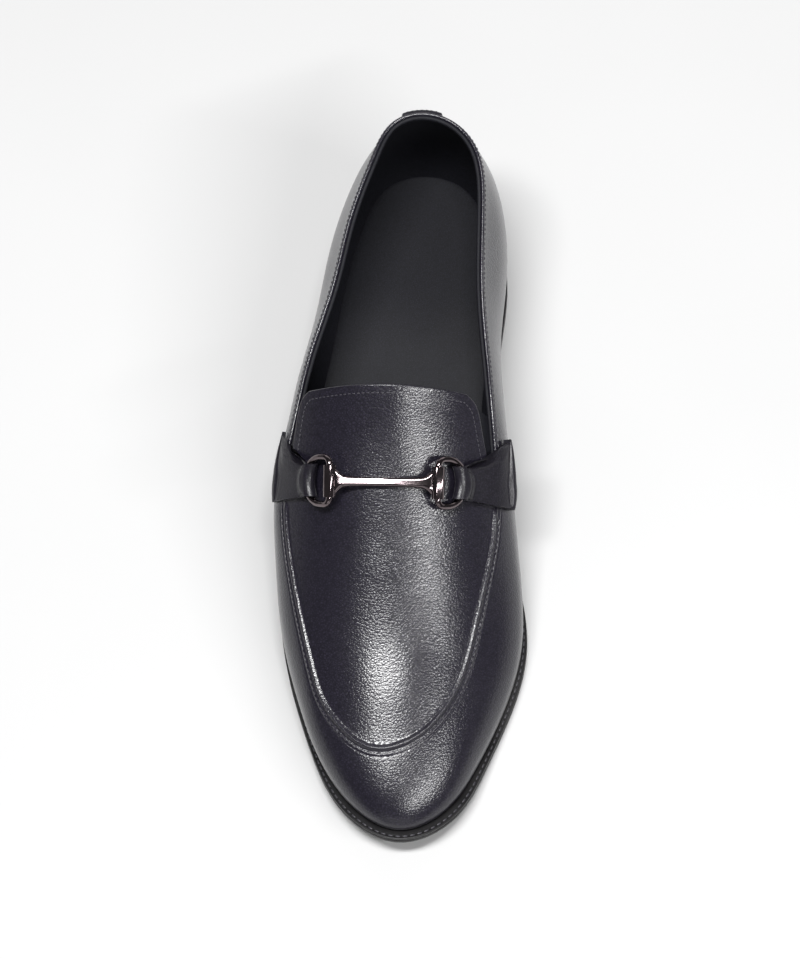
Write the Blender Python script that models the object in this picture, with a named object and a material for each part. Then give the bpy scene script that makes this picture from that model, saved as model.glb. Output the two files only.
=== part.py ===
"""A black leather bit loafer for the right foot, standing empty on its sole.

Shapes are worked out in millimetres from the heel: side is positive towards the inner side of the foot, along
runs from heel to toe and up is the height above the floor. Objects are placed in metres, toe towards -Y.
"""
from collections import namedtuple
import math

import bmesh
import bpy
import numpy as np

for old in list(bpy.data.objects):
    bpy.data.objects.remove(old, do_unlink=True)

# Driving sizes, in millimetres
WALL = 2.0
GAP = 0.35
HEEL_HEIGHT = 21.0
TOE_SPRING = 9.0
TREAD_BACK = 182.0
TREAD_FRONT = 226.0
SEAT_FRONT = 52.0
TOE_END = 286.0
OUTSOLE_THICK = 3.0
WELT_THICK = 1.7
WELT_OUT = 2.6
WELT_OUT_TOE = 4.0
INSOLE_THICK = 3.2
LIFT_THICK = 6.0
BREAST = 75.0
BREAST_HOLLOW = 4.0
HEEL_INSET = 0.9
HEEL_TAPER = 1.6
SEAM_RAISE = 0.9
SEAM_WIDE = 1.9
ROLL_RAISE = 0.6
SEAM_BACK = 168.0
ROLL_FRONT = 134.0
FOOT_UP = OUTSOLE_THICK + GAP + WELT_THICK + GAP

# The bit: bar across the instep, a barrel at each end and a ring through each barrel
BIT_ALONG = 162.0
BIT_SIDE_SHIFT = -0.5
BIT_HALF = 21.2
BAR_CLEAR = 2.35
BARREL_RADIUS = 2.5
BARREL_LENGTH = 12.6
BORE_RADIUS = 1.65
WIRE_RADIUS = 1.3
RING_HALF_HIGH = 9.2
RING_CORNER = 3.0
RING_REACH = 8.2
RING_STAND = 3.35
STRAP_HALF = 6.2
STRAP_THICK = 1.4
LOOP_THICK = 1.0
LOOP_CLEAR = 0.5
STRAP_GAP = 0.35
STRAP_SWEEP = -5.0
FLARE_BACK = 13.0
FLARE_FRONT = 1.0
ROLL_HIGH = 1.0

# Sections round the shoe: the foot of the wall, how far it leans out, and its upper edge, which is the collar
# behind the throat and the apron seam in front of it. Seam heights and slopes follow the instep's own surface.
Station = namedtuple("Station", "foot_along foot_side lean edge_along edge_side edge_up edge_slope")
HEEL = Station(2.5, 0.8, 5.0, 6.5, 1.0, 85.0, 82.0)
TOE = Station(TOE_END, 0.0, 2.0, 257.6, -4.5, None, None)
LATERAL = [
    Station(8.0, -16.0, 5.0, 10.5, -10.5, 84.0, 80.0),
    Station(28.0, -26.5, 6.0, 26.0, -18.5, 82.0, 78.0),
    Station(52.0, -32.0, 6.2, 49.0, -26.2, 77.0, 76.0),
    Station(80.0, -36.0, 5.8, 77.0, -32.3, 71.0, 73.0),
    Station(112.0, -42.0, 4.5, 108.0, -41.2, 64.0, 66.0),
    Station(132.0, -45.8, 3.0, 128.0, -45.0, 60.0, 60.0),
    Station(152.0, -48.9, 1.4, 149.0, -48.8, None, None),
    Station(178.0, -50.2, 1.2, 171.0, -49.2, None, None),
    Station(206.0, -47.5, 2.3, 198.0, -44.1, None, None),
    Station(235.0, -39.8, 2.0, 226.0, -37.0, None, None),
    Station(260.0, -29.5, 2.0, 243.5, -28.9, None, None),
    Station(277.0, -17.4, 2.0, 254.5, -16.5, None, None),
]
MEDIAL = [
    Station(8.0, 17.0, 5.0, 9.5, 13.0, 84.0, 80.0),
    Station(28.0, 28.5, 5.0, 24.0, 24.3, 82.0, 78.0),
    Station(52.0, 33.0, 4.2, 48.0, 26.8, 77.0, 76.0),
    Station(80.0, 31.2, 4.2, 77.0, 27.2, 70.5, 73.0),
    Station(112.0, 28.5, 6.0, 107.0, 30.2, 63.5, 66.0),
    Station(132.0, 30.0, 6.0, 128.0, 32.5, 59.5, 60.0),
    Station(152.0, 33.8, 5.0, 149.0, 34.4, None, None),
    Station(178.0, 41.0, 3.6, 171.0, 35.0, None, None),
    Station(206.0, 44.8, 2.0, 198.0, 32.1, None, None),
    Station(235.0, 38.2, 1.8, 224.0, 25.9, None, None),
    Station(260.0, 27.9, 1.8, 241.5, 18.0, None, None),
    Station(277.0, 17.5, 1.8, 252.5, 8.5, None, None),
]
THROAT_STATION = 7

# The instep's top surface: its ridge, how far it has dropped DROP_AT to either side, and where the ridge runs
DROP_AT = 30.0
Instep = namedtuple("Instep", "along ridge_up drop ridge_side")
INSTEP = [
    Instep(95.0, 104.0, 13.0, -8.0),
    Instep(115.0, 95.0, 13.0, -8.0),
    Instep(130.0, 87.0, 13.0, -8.0),
    Instep(145.0, 77.5, 12.5, -8.0),
    Instep(160.0, 69.5, 12.0, -8.0),
    Instep(176.0, 62.0, 11.8, -7.5),
    Instep(200.0, 52.0, 11.3, -7.0),
    Instep(225.0, 42.5, 11.0, -6.0),
    Instep(250.0, 34.3, 10.8, -5.0),
    Instep(275.0, 27.0, 10.5, -4.5),
]

# The tongue's two edges and its middle, from the throat to its top
TongueRow = namedtuple("TongueRow", "lateral_side lateral_along medial_side medial_along middle_along")
TONGUE = [
    TongueRow(-46.6, 147.0, 31.6, 147.0, 147.0),
    TongueRow(-45.4, 142.0, 29.9, 142.0, 142.5),
    TongueRow(-44.5, 136.5, 28.6, 136.5, 138.0),
    TongueRow(-43.2, 131.0, 27.3, 131.5, 134.0),
    TongueRow(-41.6, 128.2, 25.6, 128.8, 131.0),
    TongueRow(-39.3, 126.9, 22.8, 127.2, 129.3),
]

# The bar's neck: distance from the barrel's axis, half width along the barrel, half height
Neck = namedtuple("Neck", "from_axis half_wide half_high")
NECK = [
    Neck(1.95, 5.4, 1.3),
    Neck(3.1, 4.2, 1.75),
    Neck(4.6, 2.9, 1.9),
    Neck(6.8, 2.2, 1.95),
    Neck(10.5, 1.95, 1.9),
    Neck(BIT_HALF, 1.85, 1.85),
]

# Colour, roughness and metallic value of each material
Look = namedtuple("Look", "colour roughness metallic")
LOOKS = {
    "upper_leather": Look((0.012, 0.011, 0.015), 0.38, 0.0),
    "sole_leather": Look((0.014, 0.013, 0.014), 0.45, 0.0),
    "lift_rubber": Look((0.010, 0.010, 0.010), 0.75, 0.0),
    "lining_leather": Look((0.016, 0.015, 0.022), 0.60, 0.0),
    "dark_metal": Look((0.16, 0.13, 0.14), 0.18, 1.0),
}

# Counts of samples
QUARTER_STEPS = 17
VAMP_STEPS = 19
ACROSS = 10
WALL_ROWS = (0.0, 0.14, 0.30, 0.46, 0.62, 0.80)
SOLE_ROWS = 34
STRAP_LINES = 9


def smooth(t):
    """A soft step from 0 to 1 as t goes from 0 to 1."""
    t = np.clip(t, 0.0, 1.0)
    return t * t * t * (t * (6.0 * t - 15.0) + 10.0)


class Spline:
    """A natural cubic curve through values at knots, closed when a period is given."""

    def __init__(self, knots, values, period=None, wrap=4):
        knots = np.asarray(knots, float)
        values = np.asarray(values, float)
        self.period = period
        if period is not None:
            knots = np.concatenate([knots[-wrap:] - period, knots, knots[:wrap] + period])
            values = np.concatenate([values[-wrap:], values, values[:wrap]])
        self.knots = knots
        self.values = values
        self.bends = self.solve_bends()

    def solve_bends(self):
        """Second derivatives at the knots."""
        count = len(self.knots)
        step = np.diff(self.knots)
        matrix = np.eye(count)
        right = np.zeros(self.values.shape)
        for i in range(1, count - 1):
            matrix[i, i - 1:i + 2] = (step[i - 1], 2 * (step[i - 1] + step[i]), step[i])
            after = (self.values[i + 1] - self.values[i]) / step[i]
            before = (self.values[i] - self.values[i - 1]) / step[i - 1]
            right[i] = 6 * (after - before)
        return np.linalg.solve(matrix, right.reshape(count, -1)).reshape(self.values.shape)

    def __call__(self, t):
        t = np.asarray(t, float)
        if self.period is not None:
            t = np.mod(t, self.period)
        i = np.clip(np.searchsorted(self.knots, t, side="right") - 1, 0, len(self.knots) - 2)
        step = self.knots[i + 1] - self.knots[i]
        a = (self.knots[i + 1] - t) / step
        b = 1.0 - a
        if self.values.ndim > 1:
            a = a[..., None]
            b = b[..., None]
            step = step[..., None]
        bend = (a**3 - a) * self.bends[i] + (b**3 - b) * self.bends[i + 1]
        return a * self.values[i] + b * self.values[i + 1] + bend * step**2 / 6.0


INSTEP_CURVE = Spline([row.along for row in INSTEP], [row[1:] for row in INSTEP])


def instep_up(side, along):
    """Height of the instep's top surface."""
    ridge, drop, middle = np.moveaxis(INSTEP_CURVE(along), -1, 0)
    return ridge - drop * ((side - middle) / DROP_AT) ** 2


def tread_up(along):
    """Height of the sole's underside: seat, waist, flat tread and toe spring."""
    along = np.asarray(along, float)
    waist = HEEL_HEIGHT * smooth((TREAD_BACK - along) / (TREAD_BACK - SEAT_FRONT))
    toe = TOE_SPRING * np.clip((along - TREAD_FRONT) / (TOE_END - TREAD_FRONT), 0.0, None) ** 2
    return waist + toe


# Rings round the shoe, from the heel down the outer side to the toe and back up the inner side
STATIONS = [HEEL] + LATERAL + [TOE] + MEDIAL[::-1]
FOOT_POINTS = np.array([(s.foot_side, s.foot_along) for s in STATIONS])
EDGE_POINTS = np.array([(s.edge_side, s.edge_along) for s in STATIONS])
CHORDS = np.linalg.norm(np.roll(FOOT_POINTS, -1, axis=0) - FOOT_POINTS, axis=1)
ROUND = CHORDS.sum()
KNOTS = np.concatenate([[0.0], np.cumsum(CHORDS)[:-1]])
THROAT_LATERAL = KNOTS[THROAT_STATION]
THROAT_MEDIAL = KNOTS[len(STATIONS) - THROAT_STATION]
TOE_AT = KNOTS[len(LATERAL) + 1]
FOOT = Spline(KNOTS, FOOT_POINTS, ROUND)
EDGE = Spline(KNOTS, EDGE_POINTS, ROUND)
LEAN = Spline(KNOTS, [s.lean for s in STATIONS], ROUND)


def plan_normal(curve, u):
    """Outward direction, in plan, of a ring."""
    ahead = curve(u + 0.3) - curve(u - 0.3)
    out = np.stack([-ahead[..., 1], ahead[..., 0]], axis=-1)
    return out / np.linalg.norm(out, axis=-1, keepdims=True)


def station_edge(station, u):
    """Height and slope of a station's upper edge."""
    if station.edge_up is not None:
        return station.edge_up, station.edge_slope
    out = plan_normal(EDGE, np.array(u))
    here = np.array([station.edge_side, station.edge_along])
    far = here + 0.05 * out
    near = here - 0.05 * out
    fall = (instep_up(near[0], near[1]) - instep_up(far[0], far[1])) / 0.1
    return float(instep_up(here[0], here[1])), math.degrees(math.atan(fall))


EDGE_SHAPE = Spline(KNOTS, [station_edge(s, u) for s, u in zip(STATIONS, KNOTS)], ROUND)


def on_seam(u):
    """True along the apron seam, false along the collar."""
    return (u >= THROAT_LATERAL) & (u <= THROAT_MEDIAL)


def edge_up(u):
    """Height of the wall's upper edge."""
    edge = EDGE(u)
    return np.where(on_seam(u), instep_up(edge[..., 0], edge[..., 1]), EDGE_SHAPE(u)[..., 0])


def wall_frame(u):
    """Four control points of the wall's section at u, foot first."""
    foot = FOOT(u)
    edge = EDGE(u)
    foot_up = tread_up(foot[..., 1]) + FOOT_UP
    top = edge_up(u)
    rise = top - foot_up
    span = np.linalg.norm(foot - edge, axis=-1)
    slope = np.radians(EDGE_SHAPE(u)[..., 1])
    reach = np.hypot(0.5 * span, 0.3 * rise)
    lean = 1.9 * LEAN(u)
    start = np.concatenate([foot, foot_up[..., None]], axis=-1)
    end = np.concatenate([edge, top[..., None]], axis=-1)
    out_low = plan_normal(FOOT, u) * lean[..., None]
    out_high = plan_normal(EDGE, u) * (reach * np.cos(slope))[..., None]
    low = start + np.concatenate([out_low, (0.42 * rise)[..., None]], axis=-1)
    high = end + np.concatenate([out_high, (-reach * np.sin(slope))[..., None]], axis=-1)
    return start, low, high, end


def wall(u, v):
    """A point of the wall's outer face, v = 0 at the foot and 1 at the upper edge."""
    u, v = np.broadcast_arrays(np.asarray(u, float), np.asarray(v, float))
    start, low, high, end = wall_frame(u)
    v = v[..., None]
    w = 1.0 - v
    return w**3 * start + 3 * w**2 * v * low + 3 * w * v**2 * high + v**3 * end


def below_edge(u, distance):
    """The v that lies a distance under the wall's upper edge."""
    start, low, high, end = wall_frame(np.asarray(u, float))
    return 1.0 - distance / (3.0 * np.linalg.norm(end - high, axis=-1))


def edge_raise(u):
    """How far the seam's ridge or the collar's roll stands out at u."""
    along = EDGE(u)[..., 1]
    seam = SEAM_RAISE * smooth((along - SEAM_BACK) / 8.0)
    roll = ROLL_RAISE * smooth((ROLL_FRONT - along) / 12.0)
    return np.where(on_seam(u), seam, roll)


def face_normals(points, faces):
    """Unit normals at the points of an open sheet, weighted by face area."""
    total = np.zeros_like(points)
    for face in faces:
        corner = points[list(face)]
        flat = np.cross(corner[2] - corner[0], corner[-1] - corner[1])
        for index in face:
            total[index] += flat
    return total / np.linalg.norm(total, axis=1, keepdims=True)


class Sheet:
    """Points and faces gathered while a surface is laid out."""

    def __init__(self):
        self.points = []
        self.faces = []

    def add(self, point):
        self.points.append(np.asarray(point, float))
        return len(self.points) - 1

    def add_row(self, row):
        return [self.add(point) for point in row]

    def quad(self, a, b, c, d):
        ring = [a]
        for index in (b, c, d):
            if index not in ring:
                ring.append(index)
        if len(ring) > 2:
            self.faces.append(tuple(ring))

    def strip(self, first, second):
        """Faces between two rows of equal length."""
        for i in range(len(first) - 1):
            self.quad(first[i], first[i + 1], second[i + 1], second[i])

    def loop_strip(self, first, second):
        """Faces between two closed rows of equal length."""
        self.strip(list(first) + [first[0]], list(second) + [second[0]])


def upper_rings():
    """Samples of u round the shoe, with the throat's corners and the toe on samples."""
    parts = [
        np.linspace(0.0, THROAT_LATERAL, QUARTER_STEPS, endpoint=False),
        np.linspace(THROAT_LATERAL, TOE_AT, VAMP_STEPS, endpoint=False),
        np.linspace(TOE_AT, THROAT_MEDIAL, VAMP_STEPS, endpoint=False),
        np.linspace(THROAT_MEDIAL, ROUND, QUARTER_STEPS, endpoint=False),
    ]
    return np.concatenate(parts)


def upper_sheet():
    """The upper's outer face before its ridges stand out, with each point's raise and the two free edges."""
    sheet = Sheet()
    raises = []
    u = upper_rings()
    ridge = edge_raise(u)
    flat = np.zeros_like(ridge)

    def lay(row, heights):
        raises.extend(heights)
        return sheet.add_row(row)

    base = below_edge(u, SEAM_WIDE + 0.7)
    rows = [lay(wall(u, share * base), flat) for share in WALL_ROWS]
    rows.append(lay(wall(u, base), flat))
    rows.append(lay(wall(u, below_edge(u, SEAM_WIDE)), ridge))
    rows.append(lay(wall(u, np.ones_like(u)), ridge))
    for low, high in zip(rows, rows[1:]):
        sheet.loop_strip(low, high)

    first = QUARTER_STEPS
    last = QUARTER_STEPS + 2 * VAMP_STEPS
    seam = rows[-1][first:last + 1]
    seam_u = u[first:last + 1]
    inside = EDGE(seam_u) - 0.8 * plan_normal(EDGE, seam_u)
    inside = np.column_stack([inside, instep_up(inside[:, 0], inside[:, 1])])
    rim = lay(inside, np.zeros(len(inside)))
    sheet.strip(seam, rim)

    def cross_row(left, right, left_index, right_index, middle_shift):
        share = np.linspace(0.0, 1.0, ACROSS + 1)
        plan = left[None] + share[:, None] * (right - left)[None]
        plan[:, 1] += middle_shift * 4.0 * share * (1.0 - share)
        points = np.column_stack([plan, instep_up(plan[:, 0], plan[:, 1])])
        row = [left_index] if left_index is not None else lay(points[:1], [0.0])
        row += lay(points[1:-1], np.zeros(ACROSS - 1))
        row += [right_index] if right_index is not None else lay(points[-1:], [0.0])
        return row

    apron = []
    for j in range(VAMP_STEPS):
        k = 2 * VAMP_STEPS - j
        apron.append(cross_row(inside[j, :2], inside[k, :2], rim[j], rim[k], 0.0))
    apron.append([rim[VAMP_STEPS]] * (ACROSS + 1))
    for near, far in zip(apron, apron[1:]):
        sheet.strip(far, near)

    tongue = [apron[0]]
    for row in TONGUE:
        left = np.array([row.lateral_side, row.lateral_along])
        right = np.array([row.medial_side, row.medial_along])
        shift = row.middle_along - 0.5 * (row.lateral_along + row.medial_along)
        tongue.append(cross_row(left, right, None, None, shift))
    for near, far in zip(tongue, tongue[1:]):
        sheet.strip(near, far)

    collar = rows[-1][last:] + rows[-1][:first + 1]
    collar += [row[0] for row in tongue] + tongue[-1][1:-1] + [row[-1] for row in reversed(tongue)]
    return np.array(sheet.points), sheet.faces, np.array(raises), rows[0], collar


def upper_solid():
    """The hollow upper: outer face, inner face one wall thickness in, and the rims that join them."""
    points, faces, raises, foot, collar = upper_sheet()
    normals = face_normals(points, faces)
    if normals[foot[len(foot) // 2]][1] < 0.0:
        normals = -normals
    outer = points + normals * raises[:, None]
    inner = points - normals * WALL
    count = len(points)
    solid = list(faces)
    solid += [tuple(index + count for index in reversed(face)) for face in faces]
    for loop in (foot[::-1], collar):
        for a, b in zip(loop, loop[1:] + loop[:1]):
            solid.append((a, b, b + count, a + count))
    return np.concatenate([outer, inner]), solid


def welt_out(along):
    """How far the welt and outsole stand out from the foot of the wall."""
    return WELT_OUT + (WELT_OUT_TOE - WELT_OUT) * smooth((along - 235.0) / 50.0)


def outline(offset, count=720):
    """A closed plan outline, offset from the welt's outer edge."""
    u = np.linspace(0.0, ROUND, count, endpoint=False)
    foot = FOOT(u)
    return foot + plan_normal(FOOT, u) * (welt_out(foot[:, 1]) + offset)[:, None]


def sides_at(plan, along):
    """Outer and inner side of a plan outline at each along value."""
    back = int(np.argmin(plan[:, 1]))
    plan = np.roll(plan, -back, axis=0)
    front = int(np.argmax(plan[:, 1]))
    lateral = plan[:front + 1]
    medial = np.concatenate([plan[front:], plan[:1]])[::-1]
    left = np.interp(along, np.maximum.accumulate(lateral[:, 1]), lateral[:, 0])
    right = np.interp(along, np.maximum.accumulate(medial[:, 1]), medial[:, 0])
    return left, right


def sole_rows(plan, count):
    """Along values that crowd towards the rounded heel and toe ends."""
    t = np.linspace(0.0, np.pi, count)
    back = plan[:, 1].min()
    front = plan[:, 1].max()
    even = t / np.pi
    crowded = 0.5 - 0.5 * np.cos(t)
    return back + (front - back) * (0.65 * crowded + 0.35 * even)


def slab(plan, low_up, high_up, count):
    """A solid plate with a plan outline between two heights that depend on along."""
    along = sole_rows(plan, count)
    left, right = sides_at(plan, along)
    sheet = Sheet()
    lower = []
    upper = []
    for a, x0, x1 in zip(along, left, right):
        sides = [0.5 * (x0 + x1)] * 2 if a in (along[0], along[-1]) else [x0, x1]
        for rows, height in ((lower, low_up(a)), (upper, high_up(a))):
            made = [sheet.add((sides[0], a, height))]
            made.append(made[0] if sides[0] == sides[1] else sheet.add((sides[1], a, height)))
            rows.append(made)
    for i in range(count - 1):
        sheet.quad(lower[i][0], lower[i][1], lower[i + 1][1], lower[i + 1][0])
        sheet.quad(upper[i][0], upper[i + 1][0], upper[i + 1][1], upper[i][1])
        sheet.quad(lower[i][0], lower[i + 1][0], upper[i + 1][0], upper[i][0])
        sheet.quad(lower[i][1], upper[i][1], upper[i + 1][1], lower[i + 1][1])
    return np.array(sheet.points), sheet.faces


def outsole_solid():
    """The outsole."""
    return slab(outline(0.0), tread_up, lambda a: tread_up(a) + OUTSOLE_THICK, SOLE_ROWS + 12)


def insole_solid():
    """The insole, inside the upper's wall."""
    u = np.linspace(0.0, ROUND, 720, endpoint=False)
    plan = FOOT(u) - plan_normal(FOOT, u) * (WALL + 0.6)
    low = OUTSOLE_THICK + GAP
    return slab(plan, lambda a: tread_up(a) + low, lambda a: tread_up(a) + low + INSOLE_THICK, SOLE_ROWS)


def welt_solid():
    """The welt, a closed rim under the foot of the upper."""
    u = np.linspace(0.0, ROUND, 84, endpoint=False)
    foot = FOOT(u)
    out = plan_normal(FOOT, u)
    plans = (foot - out * (WALL + 0.2), foot + out * welt_out(foot[:, 1])[:, None])
    low = OUTSOLE_THICK + GAP
    sheet = Sheet()
    rings = []
    for plan, height in ((plans[0], low), (plans[1], low), (plans[1], low + WELT_THICK), (plans[0], low + WELT_THICK)):
        rings.append(sheet.add_row(np.column_stack([plan, tread_up(plan[:, 1]) + height])))
    for first, second in zip(rings, rings[1:] + rings[:1]):
        sheet.loop_strip(first, second)
    return np.array(sheet.points), sheet.faces


def heel_layer(low_up, high_up, low_inset, high_inset):
    """A heel block with a hollowed breast, between two heights and two insets."""
    columns = 7
    rows = 12
    share = np.linspace(0.0, 1.0, columns)
    sheet = Sheet()
    grids = []
    for inset, up in ((low_inset, low_up), (high_inset, high_up)):
        plan = outline(-inset)
        back = plan[:, 1].min()
        t = np.linspace(0.0, 1.0, rows) ** 1.7
        t[0] = 0.012
        along = back + (BREAST - back) * t
        left, right = sides_at(plan, along)
        grid = []
        for i in range(rows):
            hollow = BREAST_HOLLOW * 4.0 * share * (1.0 - share) * t[i] ** 2
            rows_along = along[i] - hollow
            side = left[i] + (right[i] - left[i]) * share
            grid.append(sheet.add_row(np.column_stack([side, rows_along, up(rows_along)])))
        grids.append(grid)
    lower, upper = grids
    for i in range(rows - 1):
        sheet.strip(lower[i], lower[i + 1])
        sheet.strip(upper[i], upper[i + 1])
        sheet.quad(lower[i][0], lower[i + 1][0], upper[i + 1][0], upper[i][0])
        sheet.quad(lower[i][-1], lower[i + 1][-1], upper[i + 1][-1], upper[i][-1])
    sheet.strip(lower[0], upper[0])
    sheet.strip(lower[-1], upper[-1])
    return np.array(sheet.points), sheet.faces


def heel_solid():
    """The heel stack, from the top lift to the seat."""
    def bottom(along):
        return np.full_like(along, LIFT_THICK + 0.3)

    def top(along):
        return tread_up(along) - 0.3

    return heel_layer(bottom, top, HEEL_INSET + HEEL_TAPER * 0.7, HEEL_INSET)


def lift_solid():
    """The rubber top lift that meets the floor."""
    def bottom(along):
        return np.zeros_like(along)

    def top(along):
        return np.full_like(along, LIFT_THICK)

    return heel_layer(bottom, top, HEEL_INSET + HEEL_TAPER, HEEL_INSET + HEEL_TAPER * 0.7)


def tab_solid():
    """The small tab on the back of the collar, following the roll under it."""
    u = np.linspace(-11.0, 11.0, 9)
    ridge = edge_raise(np.mod(u, ROUND))
    drops = np.array([20.0, 13.0, 7.0, SEAM_WIDE + 0.9, SEAM_WIDE, 0.2])
    grid = []
    lift = []
    for drop in drops:
        grid.append(wall(u, below_edge(u, drop)))
        lift.append(ridge if drop <= SEAM_WIDE else np.zeros_like(ridge))
    grid = np.array(grid)
    lift = np.array(lift)
    across = np.gradient(grid, axis=1)
    upward = np.gradient(grid, axis=0)
    out = np.cross(upward, across)
    out /= np.linalg.norm(out, axis=2, keepdims=True)
    if out[0, 4, 1] > 0.0:
        out = -out
    return plate(grid + out * (lift + GAP)[..., None], grid + out * (lift + GAP + 1.3)[..., None])


def plate(low, high):
    """A solid between two grids of points."""
    sheet = Sheet()
    lower = [sheet.add_row(row) for row in low]
    upper = [sheet.add_row(row) for row in high]
    for near, far in zip(lower, lower[1:]):
        sheet.strip(near, far)
    for near, far in zip(upper, upper[1:]):
        sheet.strip(near, far)
    sheet.strip(lower[0], upper[0])
    sheet.strip(lower[-1], upper[-1])
    sheet.strip([row[0] for row in lower], [row[0] for row in upper])
    sheet.strip([row[-1] for row in lower], [row[-1] for row in upper])
    return np.array(sheet.points), sheet.faces


# Bit frame: across is the shoe's side axis, down runs along the instep, out stands off it
RIDGE_HERE = INSTEP_CURVE(np.array(BIT_ALONG))
INSTEP_FALL = float((INSTEP_CURVE(np.array(BIT_ALONG - 5.0)) - INSTEP_CURVE(np.array(BIT_ALONG + 5.0)))[0]) / 10.0
TILT = math.atan(INSTEP_FALL)
ACROSS_AXIS = np.array([1.0, 0.0, 0.0])
DOWN_AXIS = np.array([0.0, math.cos(TILT), -math.sin(TILT)])
OUT_AXIS = np.array([0.0, math.sin(TILT), math.cos(TILT)])
BIT_CENTRE = np.array([RIDGE_HERE[2] + BIT_SIDE_SHIFT, BIT_ALONG, RIDGE_HERE[0]]) + BAR_CLEAR * OUT_AXIS


def instep_normal(side, along):
    """Unit normal of the instep's surface."""
    step = 0.05
    over = (instep_up(side + step, along) - instep_up(side - step, along)) / (2 * step)
    down = (instep_up(side, along + step) - instep_up(side, along - step)) / (2 * step)
    normal = np.array([-over, -down, 1.0])
    return normal / np.linalg.norm(normal)


def ring_axes(hand):
    """The ring's leg point, its outward axis and its width from leg to arc, for one side of the shoe."""
    leg = BIT_CENTRE + hand * BIT_HALF * ACROSS_AXIS
    foot_side = BIT_CENTRE[0] + hand * (BIT_HALF + RING_REACH)
    foot = np.array([foot_side, BIT_ALONG, instep_up(foot_side, BIT_ALONG)])
    arc = foot + RING_STAND * instep_normal(foot_side, BIT_ALONG)
    outward = arc - leg
    outward -= DOWN_AXIS * np.dot(outward, DOWN_AXIS)
    width = np.linalg.norm(outward)
    return leg, outward / width, width


def ring_path(width):
    """Centre line of the ring in its own plane: out from the leg, and along the leg."""
    path = []
    centre = width - RING_HALF_HIGH
    for angle in np.linspace(-90.0, 90.0, 25):
        a = math.radians(angle)
        path.append((centre + RING_HALF_HIGH * math.cos(a), RING_HALF_HIGH * math.sin(a)))
    inner = RING_HALF_HIGH - RING_CORNER
    for angle in np.linspace(90.0, 180.0, 6):
        a = math.radians(angle)
        path.append((RING_CORNER + RING_CORNER * math.cos(a), inner + RING_CORNER * math.sin(a)))
    path.append((0.0, 0.0))
    for angle in np.linspace(180.0, 270.0, 6):
        a = math.radians(angle)
        path.append((RING_CORNER + RING_CORNER * math.cos(a), -inner + RING_CORNER * math.sin(a)))
    return np.array(path)


def ring_solid(hand):
    """A ring of round wire."""
    leg, outward, width = ring_axes(hand)
    path = ring_path(width)
    flat = np.cross(outward, DOWN_AXIS)
    ahead = np.roll(path, -1, axis=0) - np.roll(path, 1, axis=0)
    ahead /= np.linalg.norm(ahead, axis=1, keepdims=True)
    sheet = Sheet()
    rings = []
    for (x, y), (dx, dy) in zip(path, ahead):
        middle = leg + outward * x + DOWN_AXIS * y
        sideways = outward * dy - DOWN_AXIS * dx
        row = []
        for k in range(10):
            a = 2.0 * math.pi * k / 10
            row.append(middle + WIRE_RADIUS * (math.cos(a) * sideways + math.sin(a) * flat))
        rings.append(sheet.add_row(row))
    for first, second in zip(rings, rings[1:] + rings[:1]):
        sheet.loop_strip(first, second)
    return np.array(sheet.points), sheet.faces


def bar_solid():
    """The bar's rod with its two flared necks, before the barrels join it."""
    half = [(-BIT_HALF + neck.from_axis, neck) for neck in NECK]
    sections = half + [(-x, neck) for x, neck in reversed(half[:-1])]
    sheet = Sheet()
    rings = []
    for x, neck in sections:
        row = []
        for k in range(12):
            a = 2.0 * math.pi * k / 12
            swing = DOWN_AXIS * neck.half_wide * math.cos(a) + OUT_AXIS * neck.half_high * math.sin(a)
            row.append(BIT_CENTRE + ACROSS_AXIS * x + swing)
        rings.append(sheet.add_row(row))
    for first, second in zip(rings, rings[1:]):
        sheet.loop_strip(first, second)
    sheet.faces.append(tuple(rings[0]))
    sheet.faces.append(tuple(rings[-1]))
    return np.array(sheet.points), sheet.faces


def barrel_solid(hand, radius, length):
    """A cylinder on a barrel's axis."""
    sheet = Sheet()
    rings = []
    for end in (-0.5, 0.5):
        row = []
        for k in range(18):
            a = 2.0 * math.pi * k / 18
            swing = ACROSS_AXIS * math.cos(a) + OUT_AXIS * math.sin(a)
            row.append(BIT_CENTRE + ACROSS_AXIS * hand * BIT_HALF + DOWN_AXIS * end * length + swing * radius)
        rings.append(sheet.add_row(row))
    sheet.loop_strip(rings[0], rings[1])
    sheet.faces.append(tuple(rings[0]))
    sheet.faces.append(tuple(rings[1]))
    return np.array(sheet.points), sheet.faces


def edge_at(hand, along):
    """The u of the collar or seam at an along value on one side."""
    if hand < 0:
        u = np.linspace(KNOTS[4], TOE_AT - 20.0, 300)
    else:
        u = np.linspace(KNOTS[len(STATIONS) - 4], TOE_AT + 20.0, 300)
    return np.interp(along, EDGE(u)[:, 1], u)


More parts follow.
